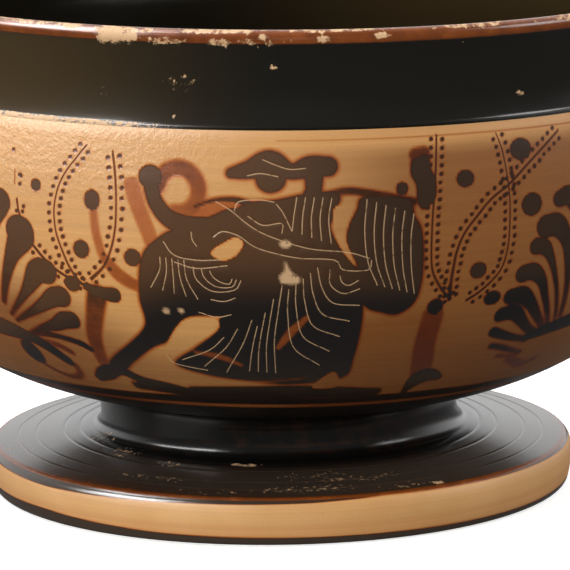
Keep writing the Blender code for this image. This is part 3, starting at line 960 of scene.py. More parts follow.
# %% [markdown]
# Bare clay comes first. Soft blotches shift its orange, painted shade makes it darker and
# redder where less light falls, burnishing on the wheel leaves faint lighter rings, and a fine
# darker grain breaks it up.

# %% The bare clay
PALE_BLOTCH = "#D49D60"
DARK_GRAIN = "#A8703F"


def bare_clay(tree, numbers, noises, clay, toned_clay):
    """Colour of the clay without any slip."""
    shade = add_node(tree, "ShaderNodeMapRange", {"From Min": 0.3, "From Max": 0.7},
                     {"Value": noises["blotch"]})
    bare = add_node(tree, "ShaderNodeMix",
                    {"data_type": "RGBA", MIX_A: linear(clay), MIX_B: linear(PALE_BLOTCH)},
                    {"Factor": shade.outputs[0]})
    # Painted shade: the clay is mixed towards a darker, redder colour where less light falls.
    clay_under_painted_shade = add_node(tree, "ShaderNodeMix", {"data_type": "RGBA", MIX_B: linear(toned_clay)},
                     {"Factor": numbers["toned"], MIX_A: bare.outputs[MIX_RESULT]})
    polish = add_node(tree, "ShaderNodeMapRange",
                      {"From Min": 0.35, "From Max": 0.65, "To Min": 0.92, "To Max": 1.06},
                      {"Value": noises["wheel"]})
    burnished = add_node(tree, "ShaderNodeHueSaturation",
                         links={"Value": polish.outputs[0], "Color": clay_under_painted_shade.outputs[MIX_RESULT]})
    speck = add_node(tree, "ShaderNodeMapRange", {"From Min": 0.60, "From Max": 0.78, "To Max": 0.35},
                     {"Value": noises["grain"]})
    grained = add_node(tree, "ShaderNodeMix", {"data_type": "RGBA", MIX_B: linear(DARK_GRAIN)},
                       {"Factor": speck.outputs[0], MIX_A: burnished.outputs["Color"]})
    return grained.outputs[MIX_RESULT]


grain_red = linear(DARK_GRAIN)[0] / linear(PALE_BLOTCH)[0]
print("the dark grain keeps", round(100 * grain_red), "% of the red of a pale blotch")

# %% [markdown]
# The slip was brushed on while the pot turned, so its thickness wavers along the rings.
# Thin slip lets the clay through, so a ramp of tints multiplies the clay: cream, orange,
# then brown. Thick slip is no longer see-through and covers the clay with its own black.

# %% The slip
SLIP_TINTS = ((0.0, "#FFFFFF"), (0.18, "#F0D6B4"), (0.36, "#DBA97F"), (0.45, "#C8915F"),
              (0.53, "#AC7A53"), (0.61, "#8A6048"), (0.7, "#5C463C"), (0.84, "#4A3A33"))


def brushed_slip(tree, numbers, noises):
    """Thickness of the slip, uneven as the brush left it."""
    uneven = add_node(tree, "ShaderNodeMath", {"operation": "ADD"},
                      {0: noises["streak"], 1: noises["wheel"]})
    wavering = add_node(tree, "ShaderNodeMapRange",
                        {"From Min": 0.75, "From Max": 1.25, "To Min": 0.9, "To Max": 1.07},
                        {"Value": uneven.outputs[0]})
    return add_node(tree, "ShaderNodeMath", {"operation": "MULTIPLY", "use_clamp": True},
                    {0: numbers["slip"], 1: wavering.outputs[0]}).outputs[0]


def slip_over_clay(tree, numbers, thickness, under, gloss, deep_gloss):
    """Colour of clay and slip together."""
    tints = add_node(tree, "ShaderNodeValToRGB", links={"Fac": thickness})
    stops = tints.color_ramp.elements
    while len(stops) < len(SLIP_TINTS):
        stops.new(1.0)
    for stop, (place, color) in zip(stops, SLIP_TINTS):
        stop.position = place
        stop.color = linear(color)
    tinted = add_node(tree, "ShaderNodeMix", {"data_type": "RGBA", "blend_type": "MULTIPLY", "Factor": 1.0},
                      {MIX_A: under, MIX_B: tints.outputs["Color"]})
    # Painted light and shade on the gloss: the lighter brown gloss where light falls, the darker one in
    # shade.
    black = add_node(tree, "ShaderNodeMix",
                     {"data_type": "RGBA", MIX_A: linear(gloss), MIX_B: linear(deep_gloss)},
                     {"Factor": numbers["deep"]})
    thick = add_node(tree, "ShaderNodeMapRange", {"From Min": 0.62, "From Max": 0.88}, {"Value": thickness})
    return add_node(tree, "ShaderNodeMix", {"data_type": "RGBA"},
                    {"Factor": thick.outputs[0], MIX_A: tinted.outputs[MIX_RESULT],
                     MIX_B: black.outputs[MIX_RESULT]}).outputs[MIX_RESULT]


print("slip has", len(SLIP_TINTS), "tints from bare to black")

# %% [markdown]
# Cut lines and chips open the slip to pale dry clay. The cuts are uneven, because the point
# skipped on the hard skin. Where the wear number is high, noise eats the slip away in ragged
# flakes, which looks more real than a smooth fade.

# %% Cut lines and flakes
DRY_CLAY = "#D9B083"


def opened_places(tree, numbers, noises):
    """1 where the slip is cut or flaked off, 0 where it is whole."""
    lost = add_node(tree, "ShaderNodeMath", {"operation": "ADD"}, {0: noises["chip"], 1: numbers["wear"]})
    gone = add_node(tree, "ShaderNodeMapRange", {"From Min": 0.98, "From Max": 1.06},
                    {"Value": lost.outputs[0]})
    skipping = add_node(tree, "ShaderNodeMapRange",
                        {"From Min": 0.36, "From Max": 0.46, "To Min": 0.2, "To Max": 0.85},
                        {"Value": noises["chip"]})
    scratch = add_node(tree, "ShaderNodeMath", {"operation": "MULTIPLY"},
                       {0: numbers["cut"], 1: skipping.outputs[0]})
    return add_node(tree, "ShaderNodeMath", {"operation": "MAXIMUM"},
                    {0: scratch.outputs[0], 1: gone.outputs[0]}).outputs[0]


print("dry clay in linear light:", [round(value, 3) for value in linear(DRY_CLAY)])

# %% [markdown]
# Gloss follows the slip too: sintered slip is nearly as smooth as glass, bare clay is dull,
# and rubbed places are scuffed. Three bumps make the fine relief: wheel rings, grain, and
# pits that only open where the clay is bare and rough.

# %% Sheen and relief
CLAY_ROUGHNESS = 0.5
RING_DEPTH = 0.06
GRAIN_DEPTH = 0.12
PIT_DEPTH = 0.5
PIT_BUMP = 0.7


def sheen(tree, numbers, thickness, opened, gloss_roughness):
    """Roughness: low on thick slip, higher on clay and on scuffed places."""
    covered = add_node(tree, "ShaderNodeMath", {"operation": "SUBTRACT", "use_clamp": True},
                       {0: thickness, 1: opened})
    dull = add_node(tree, "ShaderNodeMapRange",
                    {"From Min": 0.25, "From Max": 0.65, "To Min": CLAY_ROUGHNESS,
                     "To Max": gloss_roughness}, {"Value": covered.outputs[0]})
    scuffed = add_node(tree, "ShaderNodeMapRange", {"From Min": 0.45, "From Max": 0.6, "To Max": 0.3},
                       {"Value": numbers["wear"]})
    return add_node(tree, "ShaderNodeMath", {"operation": "ADD"},
                    {0: dull.outputs[0], 1: scuffed.outputs[0]}).outputs[0]


def relief(tree, numbers, noises, thickness, ring_bump, grain_bump):
    """Surface direction with wheel rings, grain and pits."""
    bare = add_node(tree, "ShaderNodeMapRange",
                    {"From Min": 0.15, "From Max": 0.7, "To Min": 1.0, "To Max": 0.0}, {"Value": thickness})
    rough_clay = add_node(tree, "ShaderNodeMath", {"operation": "MULTIPLY"},
                          {0: numbers["pitted"], 1: bare.outputs[0]})
    pits = add_node(tree, "ShaderNodeMath", {"operation": "MULTIPLY"},
                    {0: noises["grit"], 1: rough_clay.outputs[0]})
    rings = add_node(tree, "ShaderNodeBump", {"Strength": ring_bump, "Distance": RING_DEPTH * MM},
                     {"Height": noises["wheel"]})
    grains = add_node(tree, "ShaderNodeBump", {"Strength": grain_bump, "Distance": GRAIN_DEPTH * MM},
                      {"Height": noises["grain"], "Normal": rings.outputs[0]})
    return add_node(tree, "ShaderNodeBump", {"Strength": PIT_BUMP, "Distance": PIT_DEPTH * MM},
                    {"Height": pits.outputs[0], "Normal": grains.outputs[0]}).outputs[0]


print("deepest pit:", PIT_BUMP * PIT_DEPTH, "mm")

# %% [markdown]
# Now the layers are put together. The wall's clay is burnished and takes the picture. The
# lip, the inside and the handles are gloss all over, dulled by many hands and painted olive
# brown where light falls. The foot's gloss is painted a deeper black on the stem, as painted
# shade under the bowl, over paler clay. Fired clay and slip are both silicates, so an index
# of refraction of 1.5 suits all three.

# %% The three finishes
# Painted light and shade: gloss is the black gloss painted lighter brown where light falls, and the darker
# clay and gloss colours are painted shade.
def painted_clay(name, clay="#CE9656", toned_clay="#875122", gloss="#563921", deep_gloss="#1A1512",
                 gloss_roughness=0.34, ring_bump=0.25, grain_bump=0.5, chip_size=1.6):
    """Burnished fired clay with gloss slip, both driven by the mesh's numbers."""
    material = bpy.data.materials.new(name)
    material.use_nodes = True
    tree = material.node_tree
    numbers, noises = read_numbers(tree), patterns(tree, chip_size)
    thickness = brushed_slip(tree, numbers, noises)
    under = bare_clay(tree, numbers, noises, clay, toned_clay)
    painted = slip_over_clay(tree, numbers, thickness, under, gloss, deep_gloss)
    opened = opened_places(tree, numbers, noises)
    face = add_node(tree, "ShaderNodeMix", {"data_type": "RGBA", MIX_B: linear(DRY_CLAY)},
                    {"Factor": opened, MIX_A: painted})
    shader = tree.nodes["Principled BSDF"]
    shader.inputs["IOR"].default_value = 1.5
    tree.links.new(face.outputs[MIX_RESULT], shader.inputs["Base Color"])
    tree.links.new(sheen(tree, numbers, thickness, opened, gloss_roughness), shader.inputs["Roughness"])
    tree.links.new(relief(tree, numbers, noises, thickness, ring_bump, grain_bump), shader.inputs["Normal"])
    print(name, "has", len(tree.nodes), "nodes")
    return material


wall_finish = painted_clay("burnished_clay_with_slip_picture")
lip_finish = painted_clay("black_gloss_dulled_by_handling", clay="#D9A468", gloss="#40321C",
                          deep_gloss="#17150F", gloss_roughness=0.2, ring_bump=0.08, grain_bump=0.05)
foot_finish = painted_clay("sintered_black_gloss_slip", clay="#E4B074", toned_clay="#C0834C",
                           gloss="#40342A", deep_gloss="#0D0C0B", gloss_roughness=0.2,
                           ring_bump=0.3, grain_bump=0.15, chip_size=1.2)

# %% [markdown]
# ## Turned pieces
# The lip with the inside, and the foot with the stem, are round, so each is spun from an
# outline, as it was turned on the wheel. A row of an outline is a radius, a height and the
# slip there. The other numbers of a vertex are worked out from its spot: its angle from the
# front, its radius, its height and its slip.

# %% Spin an outline
Spot = namedtuple("Spot", "turn radius height slip")


def ring_faces(rings, sides):
    """Faces that join closed rings of points, each to the next."""
    made = []
    for here in range(0, (rings - 1) * sides, sides):
        for step in range(sides):
            ahead = (step + 1) % sides
            made.append((here + step, here + ahead, here + sides + ahead, here + sides + step))
    return made


def spun(name, outline, segments, **numbers):
    """A round piece from an outline. Each named number has its own function of a spot."""
    vertices, spots = [], []
    for radius, height, slip in outline:
        for step in range(segments):
            angle = 2 * pi * step / segments
            vertices.append(around(angle, radius, height))
            spots.append(Spot((angle + pi) % (2 * pi) - pi, radius, height, slip))
    values = {"slip": [spot.slip for spot in spots]}
    values.update({number: [work(spot) for spot in spots] for number, work in numbers.items()})
    return make_piece(name, vertices, ring_faces(len(outline), segments), **values)


def arc(centre, radius, start, end, steps):
    """Points on a round stretch of an outline."""
    turns = [start + (end - start) * step / steps for step in range(steps + 1)]
    return [(centre[0] + radius * cos(turn), centre[1] + radius * sin(turn)) for turn in turns]


def bend(start, start_pull, end_pull, end, count):
    """Points on a smooth bend between two outline points."""
    flat = [Vector((*point, 0.0)) for point in (start, start_pull, end_pull, end)]
    return [(point.x, point.y) for point in interpolate_bezier(*flat, count)]


print("a cup of 3 rings with 8 sides has", len(ring_faces(3, 8)), "faces")

# %% [markdown]
# The lip stands on a small ledge of the shoulder, is a little narrower at its waist, and
# ends in a round rim. The same line one wall's thickness further in leads down the inside to
# the middle of the bowl.

# %% The outline of the lip, the rim and the inside
RIM_SLIP = 0.6
INSIDE_SLIP = 0.95


def lip_line(inset=0.0, count=32):
    """The lip's outer line, or the same line further in."""
    foot = (LIP_WAIST + 0.3 * RIM_ROUNDING, SHOULDER_HEIGHT + SHOULDER_ROUNDING)
    top = (RIM_RADIUS - 0.4 * RIM_ROUNDING, RIM_HEIGHT - 1.8 * RIM_ROUNDING)
    climb = top[1] - foot[1]
    line = bend(foot, (LIP_WAIST - 0.4 * RIM_ROUNDING, foot[1] + 0.3 * climb),
                (LIP_WAIST - 0.2 * RIM_ROUNDING, foot[1] + 0.7 * climb), top, count)
    return [(radius - inset, height) for radius, height in line]


def lip_outline():
    """Rows for the ledge, the lip, the rim and the inside."""
    ledge = bend((SHOULDER_RADIUS - SHOULDER_ROUNDING / 2, SHOULDER_HEIGHT),
                 (SHOULDER_RADIUS - SHOULDER_ROUNDING, SHOULDER_HEIGHT + 0.2),
                 (LIP_WAIST + 0.7, SHOULDER_HEIGHT + 0.3),
                 (LIP_WAIST + 0.57, SHOULDER_HEIGHT + SHOULDER_ROUNDING), 8)
    rim = arc((RIM_RADIUS - RIM_ROUNDING, RIM_HEIGHT - RIM_ROUNDING), RIM_ROUNDING - 0.04,
              radians(-30), radians(190), 26)
    inner = [rim[-1]] + lip_line(LIP_WALL, 12)[::-1][1:-1]
    inner += [inside_point(pi / 2 * (step / 16) ** 1.15) for step in range(16)]
    inner += [(0.3, BODY_BOTTOM + BODY_WALL)]
    inner = [tuple(point) for point in smooth(inner, step=2.5)][1:]
    rows = [(radius, height, 1.0) for radius, height in ledge + lip_line()[1:]]
    rows += [(radius, height, RIM_SLIP) for radius, height in rim]
    return rows + [(radius, height, INSIDE_SLIP) for radius, height in inner]


print("the outline of lip and inside has", len(lip_outline()), "points")

# %% [markdown]
# The rim is where hands and lips touched. Its slip is thin and reddish brown, and in places
# it is worn down to pale clay. We list those places and let the noise in the material give
# each its ragged edge.

# %% Worn places on the rim and the lip
# Angle, half angle (both in degrees), level, half height (both in mm), and how much is lost
RIM_WEAR = [(-21.0, 4.4, 1.6, 3.4, 0.62), (-34.0, 10.0, 0.0, 1.0, 0.52), (-27.5, 2.4, 0.2, 1.2, 0.56),
            (-14.8, 5.0, 2.6, 1.7, 0.5), (-16.8, 1.2, 0.6, 0.8, 0.6), (-7.4, 7.5, 0.0, 1.3, 0.56),
            (-7.2, 2.4, 2.8, 1.5, 0.53), (-1.6, 1.0, 1.4, 1.0, 0.62), (-2.5, 6.0, 2.6, 1.5, 0.46),
            (7.0, 12.0, 0.0, 0.9, 0.52), (6.0, 1.6, 2.0, 1.2, 0.54), (13.6, 1.3, 1.5, 1.1, 0.58),
            (27.0, 9.0, 0.2, 0.9, 0.5), (44.0, 9.0, 0.4, 1.4, 0.5), (70, 9, 0.5, 1.8, 0.55),
            (150, 12, 0.5, 2.6, 0.6), (-110, 10, 0.5, 2.0, 0.6)]
LIP_WEAR = [(-12.5, 3.4, 112.0, 4.2, 0.42), (-23.5, 1.6, 108.5, 1.8, 0.42), (-0.3, 0.7, 115.5, 1.0, 0.56),
            (34.5, 1.0, 107, 1.4, 0.5), (-13.5, 0.6, 104.0, 0.8, 0.6)]


def worn_at(places, turn, level, plain):
    """How far the slip has gone at an angle and a level: plain, and more in worn places."""
    worn = plain
    for middle, half, height, reach, loss in places:
        gap = hypot((turn - radians(middle)) / radians(half), (level - height) / reach)
        worn = max(worn, plain + (loss - plain) * min(1.0, 1.8 * max(0.0, 1 - gap)))
    return worn


print("worn places on the rim:", len(RIM_WEAR), "and on the lip:", len(LIP_WEAR))

# %% [markdown]
# On the front left the slip at the foot of the lip is ragged, and the black is painted lighter
# olive there as painted light. Both fade out towards the handles, so that no seam shows at the back.

# %% The lip with the inside
def at_front(turn):
    """1 at the front of the bowl, fading to 0 by the handles."""
    return 1 - rise(abs(turn), 0.9, 1.6)


def lip_wear(spot):
    """Wear of the lip: at its foot on the left, on the rim, and in a few specks."""
    if spot.slip == INSIDE_SLIP:
        return 0.2
    if spot.height < SHOULDER_HEIGHT + 0.9:
        return 0.3 + 0.29 * (1 - rise(spot.turn, -0.45, -0.1)) * at_front(spot.turn)
    if spot.slip == RIM_SLIP or spot.height > RIM_HEIGHT - 4.2:
        return worn_at(RIM_WEAR, spot.turn, RIM_HEIGHT - spot.height, 0.3)
    return worn_at(LIP_WEAR, spot.turn, spot.height, 0.25)


def lip_painted_gloss_shade(spot):
    """Painted light on the lip's gloss: olive brown on the lit front left, and inside on the right, black
    elsewhere.
    """
    if spot.slip == INSIDE_SLIP:
        return 1 - 0.8 * rise(sin(spot.turn), -0.3, 0.4)
    return 0.7 + (rise(spot.turn, -0.75, 0.05) - 0.7) * at_front(spot.turn)


lip_and_inside = spun("lip_and_inside", lip_outline(), 720, wear=lip_wear, deep=lip_painted_gloss_shade)

# %% [markdown]
# ## Stem and foot
# The foot is a thick turned disc with a hollow underneath, which keeps the clay even in
# thickness, so that it dries and fires without cracking. Fine grooves were turned into its
# top, and its edge has a small step.

# %% The outline of the stem and the foot
GROOVES = (48.7, 52.7, 59.5, 64.0)
GROOVE_DEPTH = 0.16
EDGE_STEP = 5.2
EDGE_SLIP = 0.5


def foot_underside():
    """Outline of the hollow and the ring that the foot stands on."""
    hollow_top = BODY_BOTTOM + BODY_WALL - 7.0
    hollow_radius = STEM_RADIUS - 9.5
    shelf = foot_top(STEM_RADIUS) - 6.8
    under = bend((hollow_radius * 0.6, hollow_top), (hollow_radius * 0.95, hollow_top),
                 (hollow_radius * 0.95, shelf), (STEM_RADIUS, shelf), 16)
    ring = [(57.1, foot_top(58.0) - 6.8), (57.8, 0.4), (58.1, 0.05), (58.6, 0.0)]
    return [(0.3, hollow_top)] + under + ring + [(radius, 0.0) for radius in (61.0, 64.0, 67.0, 68.6)]


def foot_edge():
    """Outline of the foot's edge, with its step and its rounded corner."""
    lower = bend((FOOT_RADIUS - 0.9, 0.0), (FOOT_RADIUS - 0.2, 0.0), (FOOT_RADIUS, 0.4),
                 (FOOT_RADIUS + 0.25, 0.9), 6)
    below = bend((FOOT_RADIUS + 0.3, 1.1), (FOOT_RADIUS + 0.7, 2.5), (FOOT_RADIUS + 0.9, 4.0),
                 (FOOT_RADIUS + 0.95, EDGE_STEP), 14)
    above = bend((FOOT_RADIUS + 1.02, EDGE_STEP + 0.5), (FOOT_RADIUS + 1.3, 7.2),
                 (FOOT_RADIUS + 1.1, 9.4), (FOOT_RADIUS + 0.2, FOOT_EDGE_HEIGHT - 0.7), 18)
    corner = bend((FOOT_RADIUS, FOOT_EDGE_HEIGHT - 0.5), (FOOT_RADIUS - 0.2, FOOT_EDGE_HEIGHT - 0.1),
                  (FOOT_RADIUS - 0.6, foot_top(FOOT_RADIUS - 0.6)),
                  (FOOT_RADIUS - 1.2, foot_top(FOOT_RADIUS - 1.2)), 6)
    return lower + below + above + corner


def foot_upper_face():
    """Outline of the grooved top of the foot and of the stem, up to the wall."""
    radii = list(np.arange(FOOT_RADIUS - 2.0, STEM_RADIUS + 2 * STEM_FILLET, -0.9))
    radii += [groove + offset for groove in GROOVES for offset in (-0.45, -0.2, 0.0, 0.2, 0.45)]
    made = []
    for radius in sorted(radii, reverse=True):
        gap = min(abs(radius - groove) for groove in GROOVES)
        made.append((radius, foot_top(radius) - GROOVE_DEPTH * max(0.0, 1 - gap / 0.4)))
    level = foot_top(STEM_RADIUS + STEM_FILLET)
    made += bend((STEM_RADIUS + STEM_FILLET, level), (STEM_RADIUS + 0.35 * STEM_FILLET, level),
                 (STEM_RADIUS, level + 0.5 * STEM_FILLET), (STEM_RADIUS, level + 1.5 * STEM_FILLET), 14)
    top = wall_height(STEM_RADIUS)
    return made + [(STEM_RADIUS, level + 1.5 * STEM_FILLET + 1.0), (STEM_RADIUS, top - 1.5),
                   (STEM_RADIUS + 0.5, top - 0.5), (WALL_START_RADIUS, wall_height(WALL_START_RADIUS))]


foot_outline = [(*point, 0.0) for point in foot_underside()]
foot_outline += [(*point, EDGE_SLIP) for point in foot_edge()]
foot_outline += [(*point, 1.0) for point in foot_upper_face()]
print("the foot's outline has", len(foot_outline), "points")

# %% [markdown]
# The top of the foot is black, its edge was left as bare clay between two thin black lines,
# and the underside is bare. On the left of the top the slip was laid thin and shows brown
# rings. The two lines change in width, as a brush held against the turning foot leaves them.

# %% Slip and painted shade of the foot
def foot_top_slip(spot):
    """Slip on the upper face: brown rings where it is thin, most on the left."""
    left = np.interp(spot.turn, (-2.2, -0.7, 0.2, 2.2), (0.5, 1.0, 0.0, 0.5))
    rings = noise.noise(Vector((spot.radius * 1.1, 0.6 * sin(spot.turn), 0.6 * cos(spot.turn))))
    worn = rise(spot.radius, 58.0, 68.0) * (0.06 + 0.16 * left) * (0.5 + 1.6 * rings)
    line = 0.22 * rise(spot.radius, 68.5, 68.8)
    return 0.92 + 0.1 * rings - max(1.25 * worn, line)


def foot_edge_slip(spot):
    """Slip on the edge: an upper and a lower black line with bare clay between."""
    stripe = np.interp(spot.turn, (-2.2, -0.9, -0.3, 0.1, 0.35, 2.2), (1.0, 2.0, 1.1, 0.8, 0.25, 1.0))
    upper = rise(spot.height, FOOT_EDGE_HEIGHT - stripe - 0.3, FOOT_EDGE_HEIGHT - stripe + 0.1)
    under = np.interp(spot.turn, (-2.2, -0.9, -0.4, 0.3, 0.9, 2.2), (2.2, 3.2, 2.2, 1.9, 1.6, 2.2))
    lower = 1 - rise(spot.height, under - 0.3, under + 0.2)
    bright = rise(spot.height, FOOT_EDGE_HEIGHT - 0.45, FOOT_EDGE_HEIGHT - 0.25)
    return max(upper * (1 - 0.4 * bright), lower)


def foot_slip(spot):
    """Slip on the foot, by the part of the outline that a spot belongs to."""
    if spot.slip == 1.0:
        return foot_top_slip(spot)
    return foot_edge_slip(spot) if spot.slip == EDGE_SLIP else spot.slip


def foot_painted_gloss_shade(spot):
    """Painted shade and light: the stem, in the shadow of the bowl, is painted deep black, and the top of
    the foot a lighter brownish black.
    """
    return 1 - rise(spot.radius, 47.0, 55.0)


def foot_edge_painted_shade(spot):
    """Painted shade: the lower half of the foot's edge, which faces down, is painted a little darker."""
    return 0.45 * (1 - rise(spot.height, EDGE_STEP - 0.6, EDGE_STEP + 0.3))


print("tone of the edge below its step:", foot_edge_painted_shade(Spot(0.0, FOOT_RADIUS, 2.0, EDGE_SLIP)))

# %% [markdown]
# The upper face was knocked and rubbed more than the wall. Its flakes are small and gather
# in patches, which are set by angle and radius, as on the rim.

# %% Wear of the foot, and the foot itself
FOOT_WEAR = [(-68, 14, 46.5, 4, 0.42), (-48, 9, 49, 6, 0.43), (-30, 6, 51, 3, 0.45),
             (-10, 8, 48.5, 1.8, 0.5), (7, 16, 56, 4, 0.42), (5, 18, 64, 3.6, 0.43),
             (18, 18, 59, 3, 0.42), (33, 2, 67.5, 1.1, 0.65), (-30, 16, 60, 4, 0.4),
             (-15, 14, 66, 3, 0.4), (26, 12, 66, 3, 0.42), (-73, 16, 65, 4, 0.4)]


def foot_wear(spot):
    """Wear of the foot's upper face, in specks that gather where it was knocked."""
    if spot.height < FOOT_EDGE_HEIGHT - 0.3:
        return 0.15
    return worn_at(FOOT_WEAR, spot.turn, spot.radius, 0.25)


foot = spun("foot", foot_outline, 480, slip=foot_slip, wear=foot_wear, deep=foot_painted_gloss_shade, toned=foot_edge_painted_shade)

# %% [markdown]
# ## Handles
# Each handle is a rolled strip of clay bent to a loop and pressed to the wall, thicker where
# the thumb pressed it on. We sweep a circle along the same curve as the solid's handle: one
# smooth curve from the root to the tip, and its mirror image back.

# %% The route of a handle
HANDLE_SPREAD = 68.0
HANDLE_REACH = 34.0
HANDLE_STEPS = 60
ROOT_PULL = 0.72
TIP_PULL = 0.32


def handle_route(side):
    """Points along the middle of the handle, from one root to the other."""
    wall = wall_radius(HANDLE_ROOT_HEIGHT)
    half_angle = asin(HANDLE_SPREAD / 2 / wall)
    out = Vector((cos(half_angle), -sin(half_angle), 0))
    lift = Vector((0, 0, HANDLE_RISE / HANDLE_REACH / 2))
    root = out * (wall - BODY_WALL / 2) + Vector((0, 0, HANDLE_ROOT_HEIGHT))
    tip = Vector((wall + HANDLE_REACH, 0, HANDLE_ROOT_HEIGHT + HANDLE_RISE))
    near = interpolate_bezier(root, root + (out + lift) * HANDLE_REACH * ROOT_PULL,
                              tip - Vector((0, HANDLE_SPREAD * TIP_PULL, 0)), tip, HANDLE_STEPS + 1)
    far = [Vector((point.x, -point.y, point.z)) for point in reversed(near[:-1])]
    return [Vector((side * point.x, side * point.y, point.z)) for point in near + far]


print("a handle's route has", len(handle_route(1)), "points")

# %% [markdown]
# The circle is set square to the route at every point. Its upper side rubs against fingers,
# so it gets a little more wear, and it stays a quarter of a millimetre inside the solid.

# %% Roll the handles
HANDLE_THICKNESS = 9.5
HANDLE_ROOT_THICKNESS = 12.5
HANDLE_ROOT_LENGTH = 15.0
HANDLE_SIDES = 32
HANDLE_INSET = 0.25
# The handles take one middling value of painted light and shade on their gloss.
HANDLE_GLOSS_SHADE = 0.5


def handle(name, side):
    """One rolled handle, on the right for side 1 and on the left for side -1."""
    route = handle_route(side)
    lengths = np.cumsum([0.0] + [(end - start).length for start, end in zip(route, route[1:])])
    upright = Vector((-side * HANDLE_RISE, 0, HANDLE_REACH)).normalized()
    vertices, wears = [], []
    for index, point in enumerate(route):
        along = (route[min(index + 1, len(route) - 1)] - route[max(index - 1, 0)]).normalized()
        across = along.cross(upright).normalized()
        over = across.cross(along)
        from_root = min(lengths[index], lengths[-1] - lengths[index])
        swell = max(1 - from_root / HANDLE_ROOT_LENGTH, 0.0) ** 2
        thickness = HANDLE_THICKNESS + (HANDLE_ROOT_THICKNESS - HANDLE_THICKNESS) * swell
        radius = float(thickness / 2 - HANDLE_INSET)
        for step in range(HANDLE_SIDES):
            angle = 2 * pi * step / HANDLE_SIDES
            vertices.append(leaning(point + radius * (cos(angle) * across + sin(angle) * over)))
            wears.append(0.27 + 0.1 * max(sin(angle), 0.0))
    faces = ring_faces(len(route), HANDLE_SIDES)
    slips, gloss_shades = np.ones(len(vertices)), np.full(len(vertices), HANDLE_GLOSS_SHADE)
    return make_piece(name, vertices, faces, slip=slips, wear=wears, deep=gloss_shades)


handle_right = handle("handle_right", 1)
handle_left = handle("handle_left", -1)

# %% [markdown]
# Every piece takes its finish and replaces the plain solid bowl in the picture. It rides on
# the same body.

# %% Finish each piece and let it ride on the bowl
finishes = [(picture_front, wall_finish, "fired_clay"), (picture_back, wall_finish, "fired_clay"),
            (lip_and_inside, lip_finish, "black_gloss"), (foot, foot_finish, "black_gloss"),
            (handle_right, lip_finish, "black_gloss"), (handle_left, lip_finish, "black_gloss")]
for piece, finish, slot in finishes:
    piece.data.materials.append(finish)
    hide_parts("bowl")
    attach(piece, "root")
    print(piece.name, "is finished with", finish.name)

# %% [markdown]
# ## Floor, light and camera
# The floor is matt white paper. It gives off a little light of its own, so that it stays
# white under soft light, and neither lights the bowl nor shows in its gloss. So the dark
# underside of the bowl stays dark.

# %% Floor
FLOOR_SIZE = 12
FLOOR_DROP = 0.0002

bpy.ops.mesh.primitive_plane_add(size=FLOOR_SIZE, location=(0, 0, -FLOOR_DROP))
floor = bpy.context.object
floor.name = "floor"
paper = bpy.data.materials.new("matt_white_paper")
paper.use_nodes = True
paper_shader = paper.node_tree.nodes["Principled BSDF"]
paper_shader.inputs["Base Color"].default_value = linear("#F4F4F2")
paper_shader.inputs["Roughness"].default_value = 0.9
paper_shader.inputs["Emission Color"].default_value = linear("#FFFFFF")
paper_shader.inputs["Emission Strength"].default_value = 0.6
floor.data.materials.append(paper)
floor.visible_diffuse = False
floor.visible_glossy = False
print("floor of", FLOOR_SIZE, "m, finished with", paper.name)

# %% [markdown]
# Gloss shows every lamp as a bright patch, so a photographer of pots lights in two ways at
# once. Here the key and the bounce only shade the bowl, and leave no glare on the dark lip.
# The window and the skylight only glint: they draw the streak on the rim and the sheen on
# the foot. The side and top lights do both, weakly, and keep the right side from going flat.

# %% Lights
AIM = Vector((0, 0, 0.07))


def soft_light(name, place, wide, tall, power, shades=True, glints=True):
    """A flat area light that faces the bowl. It may only shade, or only glint."""
    data = bpy.data.lights.new(name, "AREA")
    data.shape = "RECTANGLE"
    data.size = wide
    data.size_y = tall
    data.energy = power
    made = bpy.data.objects.new(name, data)
    made.location = place
    made.rotation_euler = (AIM - Vector(place)).to_track_quat("-Z", "Y").to_euler()
    made.visible_diffuse = shades
    made.visible_glossy = glints
    bpy.context.scene.collection.objects.link(made)
    print(name, "light:", power, "W")


soft_light("key", (-1.08, -1.08, 0.42), 0.8, 0.8, 16, glints=False)
soft_light("bounce", (0.1, -1.37, 0.22), 0.4, 0.4, 4.8, glints=False)
soft_light("window", (-1.33, -0.62, 0.9), 1.3, 0.5, 34, shades=False)
soft_light("skylight", (-0.9, -0.3, 1.2), 0.7, 0.9, 50, shades=False)
soft_light("side", (1.34, -0.24, 0.87), 0.6, 0.6, 8)
soft_light("top", (-0.6, 0.25, 1.45), 0.8, 0.8, 13)

# %% [markdown]
# The room around is dark, with a pale wall behind the bowl. That wall is what the flat top
# of the foot mirrors, and why it looks grey there and not black. The view transform is
# Standard, so that a colour set in a material comes out as that colour.

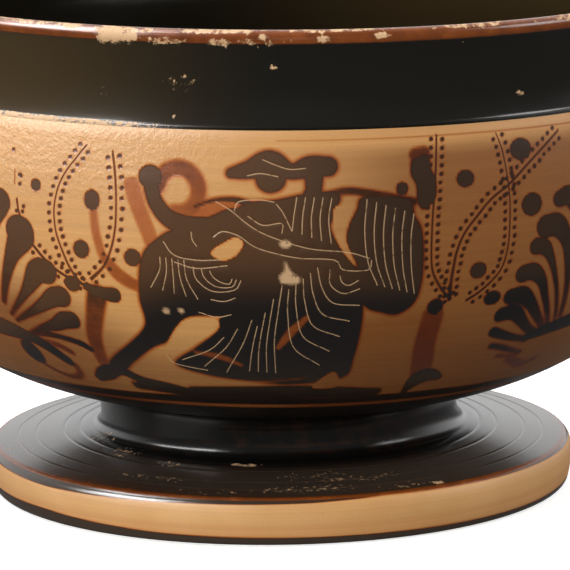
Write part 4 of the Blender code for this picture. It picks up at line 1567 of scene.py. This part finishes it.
# %% The room
ROOM_BELOW = 0.12
ROOM_FRONT = 0.16
ROOM_BEHIND = 1.25

world = bpy.data.worlds.new("dark room with a pale wall behind")
bpy.context.scene.world = world
world.use_nodes = True
room = world.node_tree
direction = add_node(room, "ShaderNodeTexCoord").outputs["Generated"]
towards = add_node(room, "ShaderNodeSeparateXYZ", links={0: direction})
behind = add_node(room, "ShaderNodeMapRange",
                  {"From Min": -0.1, "From Max": 0.5, "To Min": ROOM_FRONT, "To Max": ROOM_BEHIND},
                  {"Value": towards.outputs[1]})
above = add_node(room, "ShaderNodeMapRange", {"From Min": -0.02, "From Max": 0.03},
                 {"Value": towards.outputs[2]})
glow = add_node(room, "ShaderNodeMix", {"data_type": "FLOAT", "A": ROOM_BELOW},
                {"Factor": above.outputs[0], "B": behind.outputs[0]})
room.links.new(glow.outputs[0], room.nodes["Background"].inputs["Strength"])
room.nodes["Background"].inputs["Color"].default_value = linear("#FFFFFF")
bpy.context.scene.view_settings.view_transform = "Standard"
print("the room is", round(ROOM_BEHIND / ROOM_FRONT, 1), "times brighter behind than in front")

# %% [markdown]
# The camera stands a little over a metre away, looks down by 11 degrees and is rolled by
# less than one. A long lens frames only the middle of the front, so the bowl is cut off at
# the left, the right and the top.

# %% Camera
CAMERA_PLACE = (0.00166, -1.12, 0.26607)
CAMERA_TILT = radians(11.04)
CAMERA_ROLL = radians(0.783)
SENSOR_WIDTH = 36
LENS = 296.3

camera_data = bpy.data.cameras.new("camera")
camera_data.sensor_width = SENSOR_WIDTH
camera_data.lens = LENS
camera = bpy.data.objects.new("camera", camera_data)
tilt = Matrix.Rotation(pi / 2 - CAMERA_TILT, 4, "X")
camera.matrix_world = Matrix.Translation(CAMERA_PLACE) @ tilt @ Matrix.Rotation(-CAMERA_ROLL, 4, "Z")
bpy.context.scene.collection.objects.link(camera)
bpy.context.scene.camera = camera
seen = -CAMERA_PLACE[1] * SENSOR_WIDTH / LENS / MM
print("the lens takes in", round(seen), "mm at the middle of the bowl")
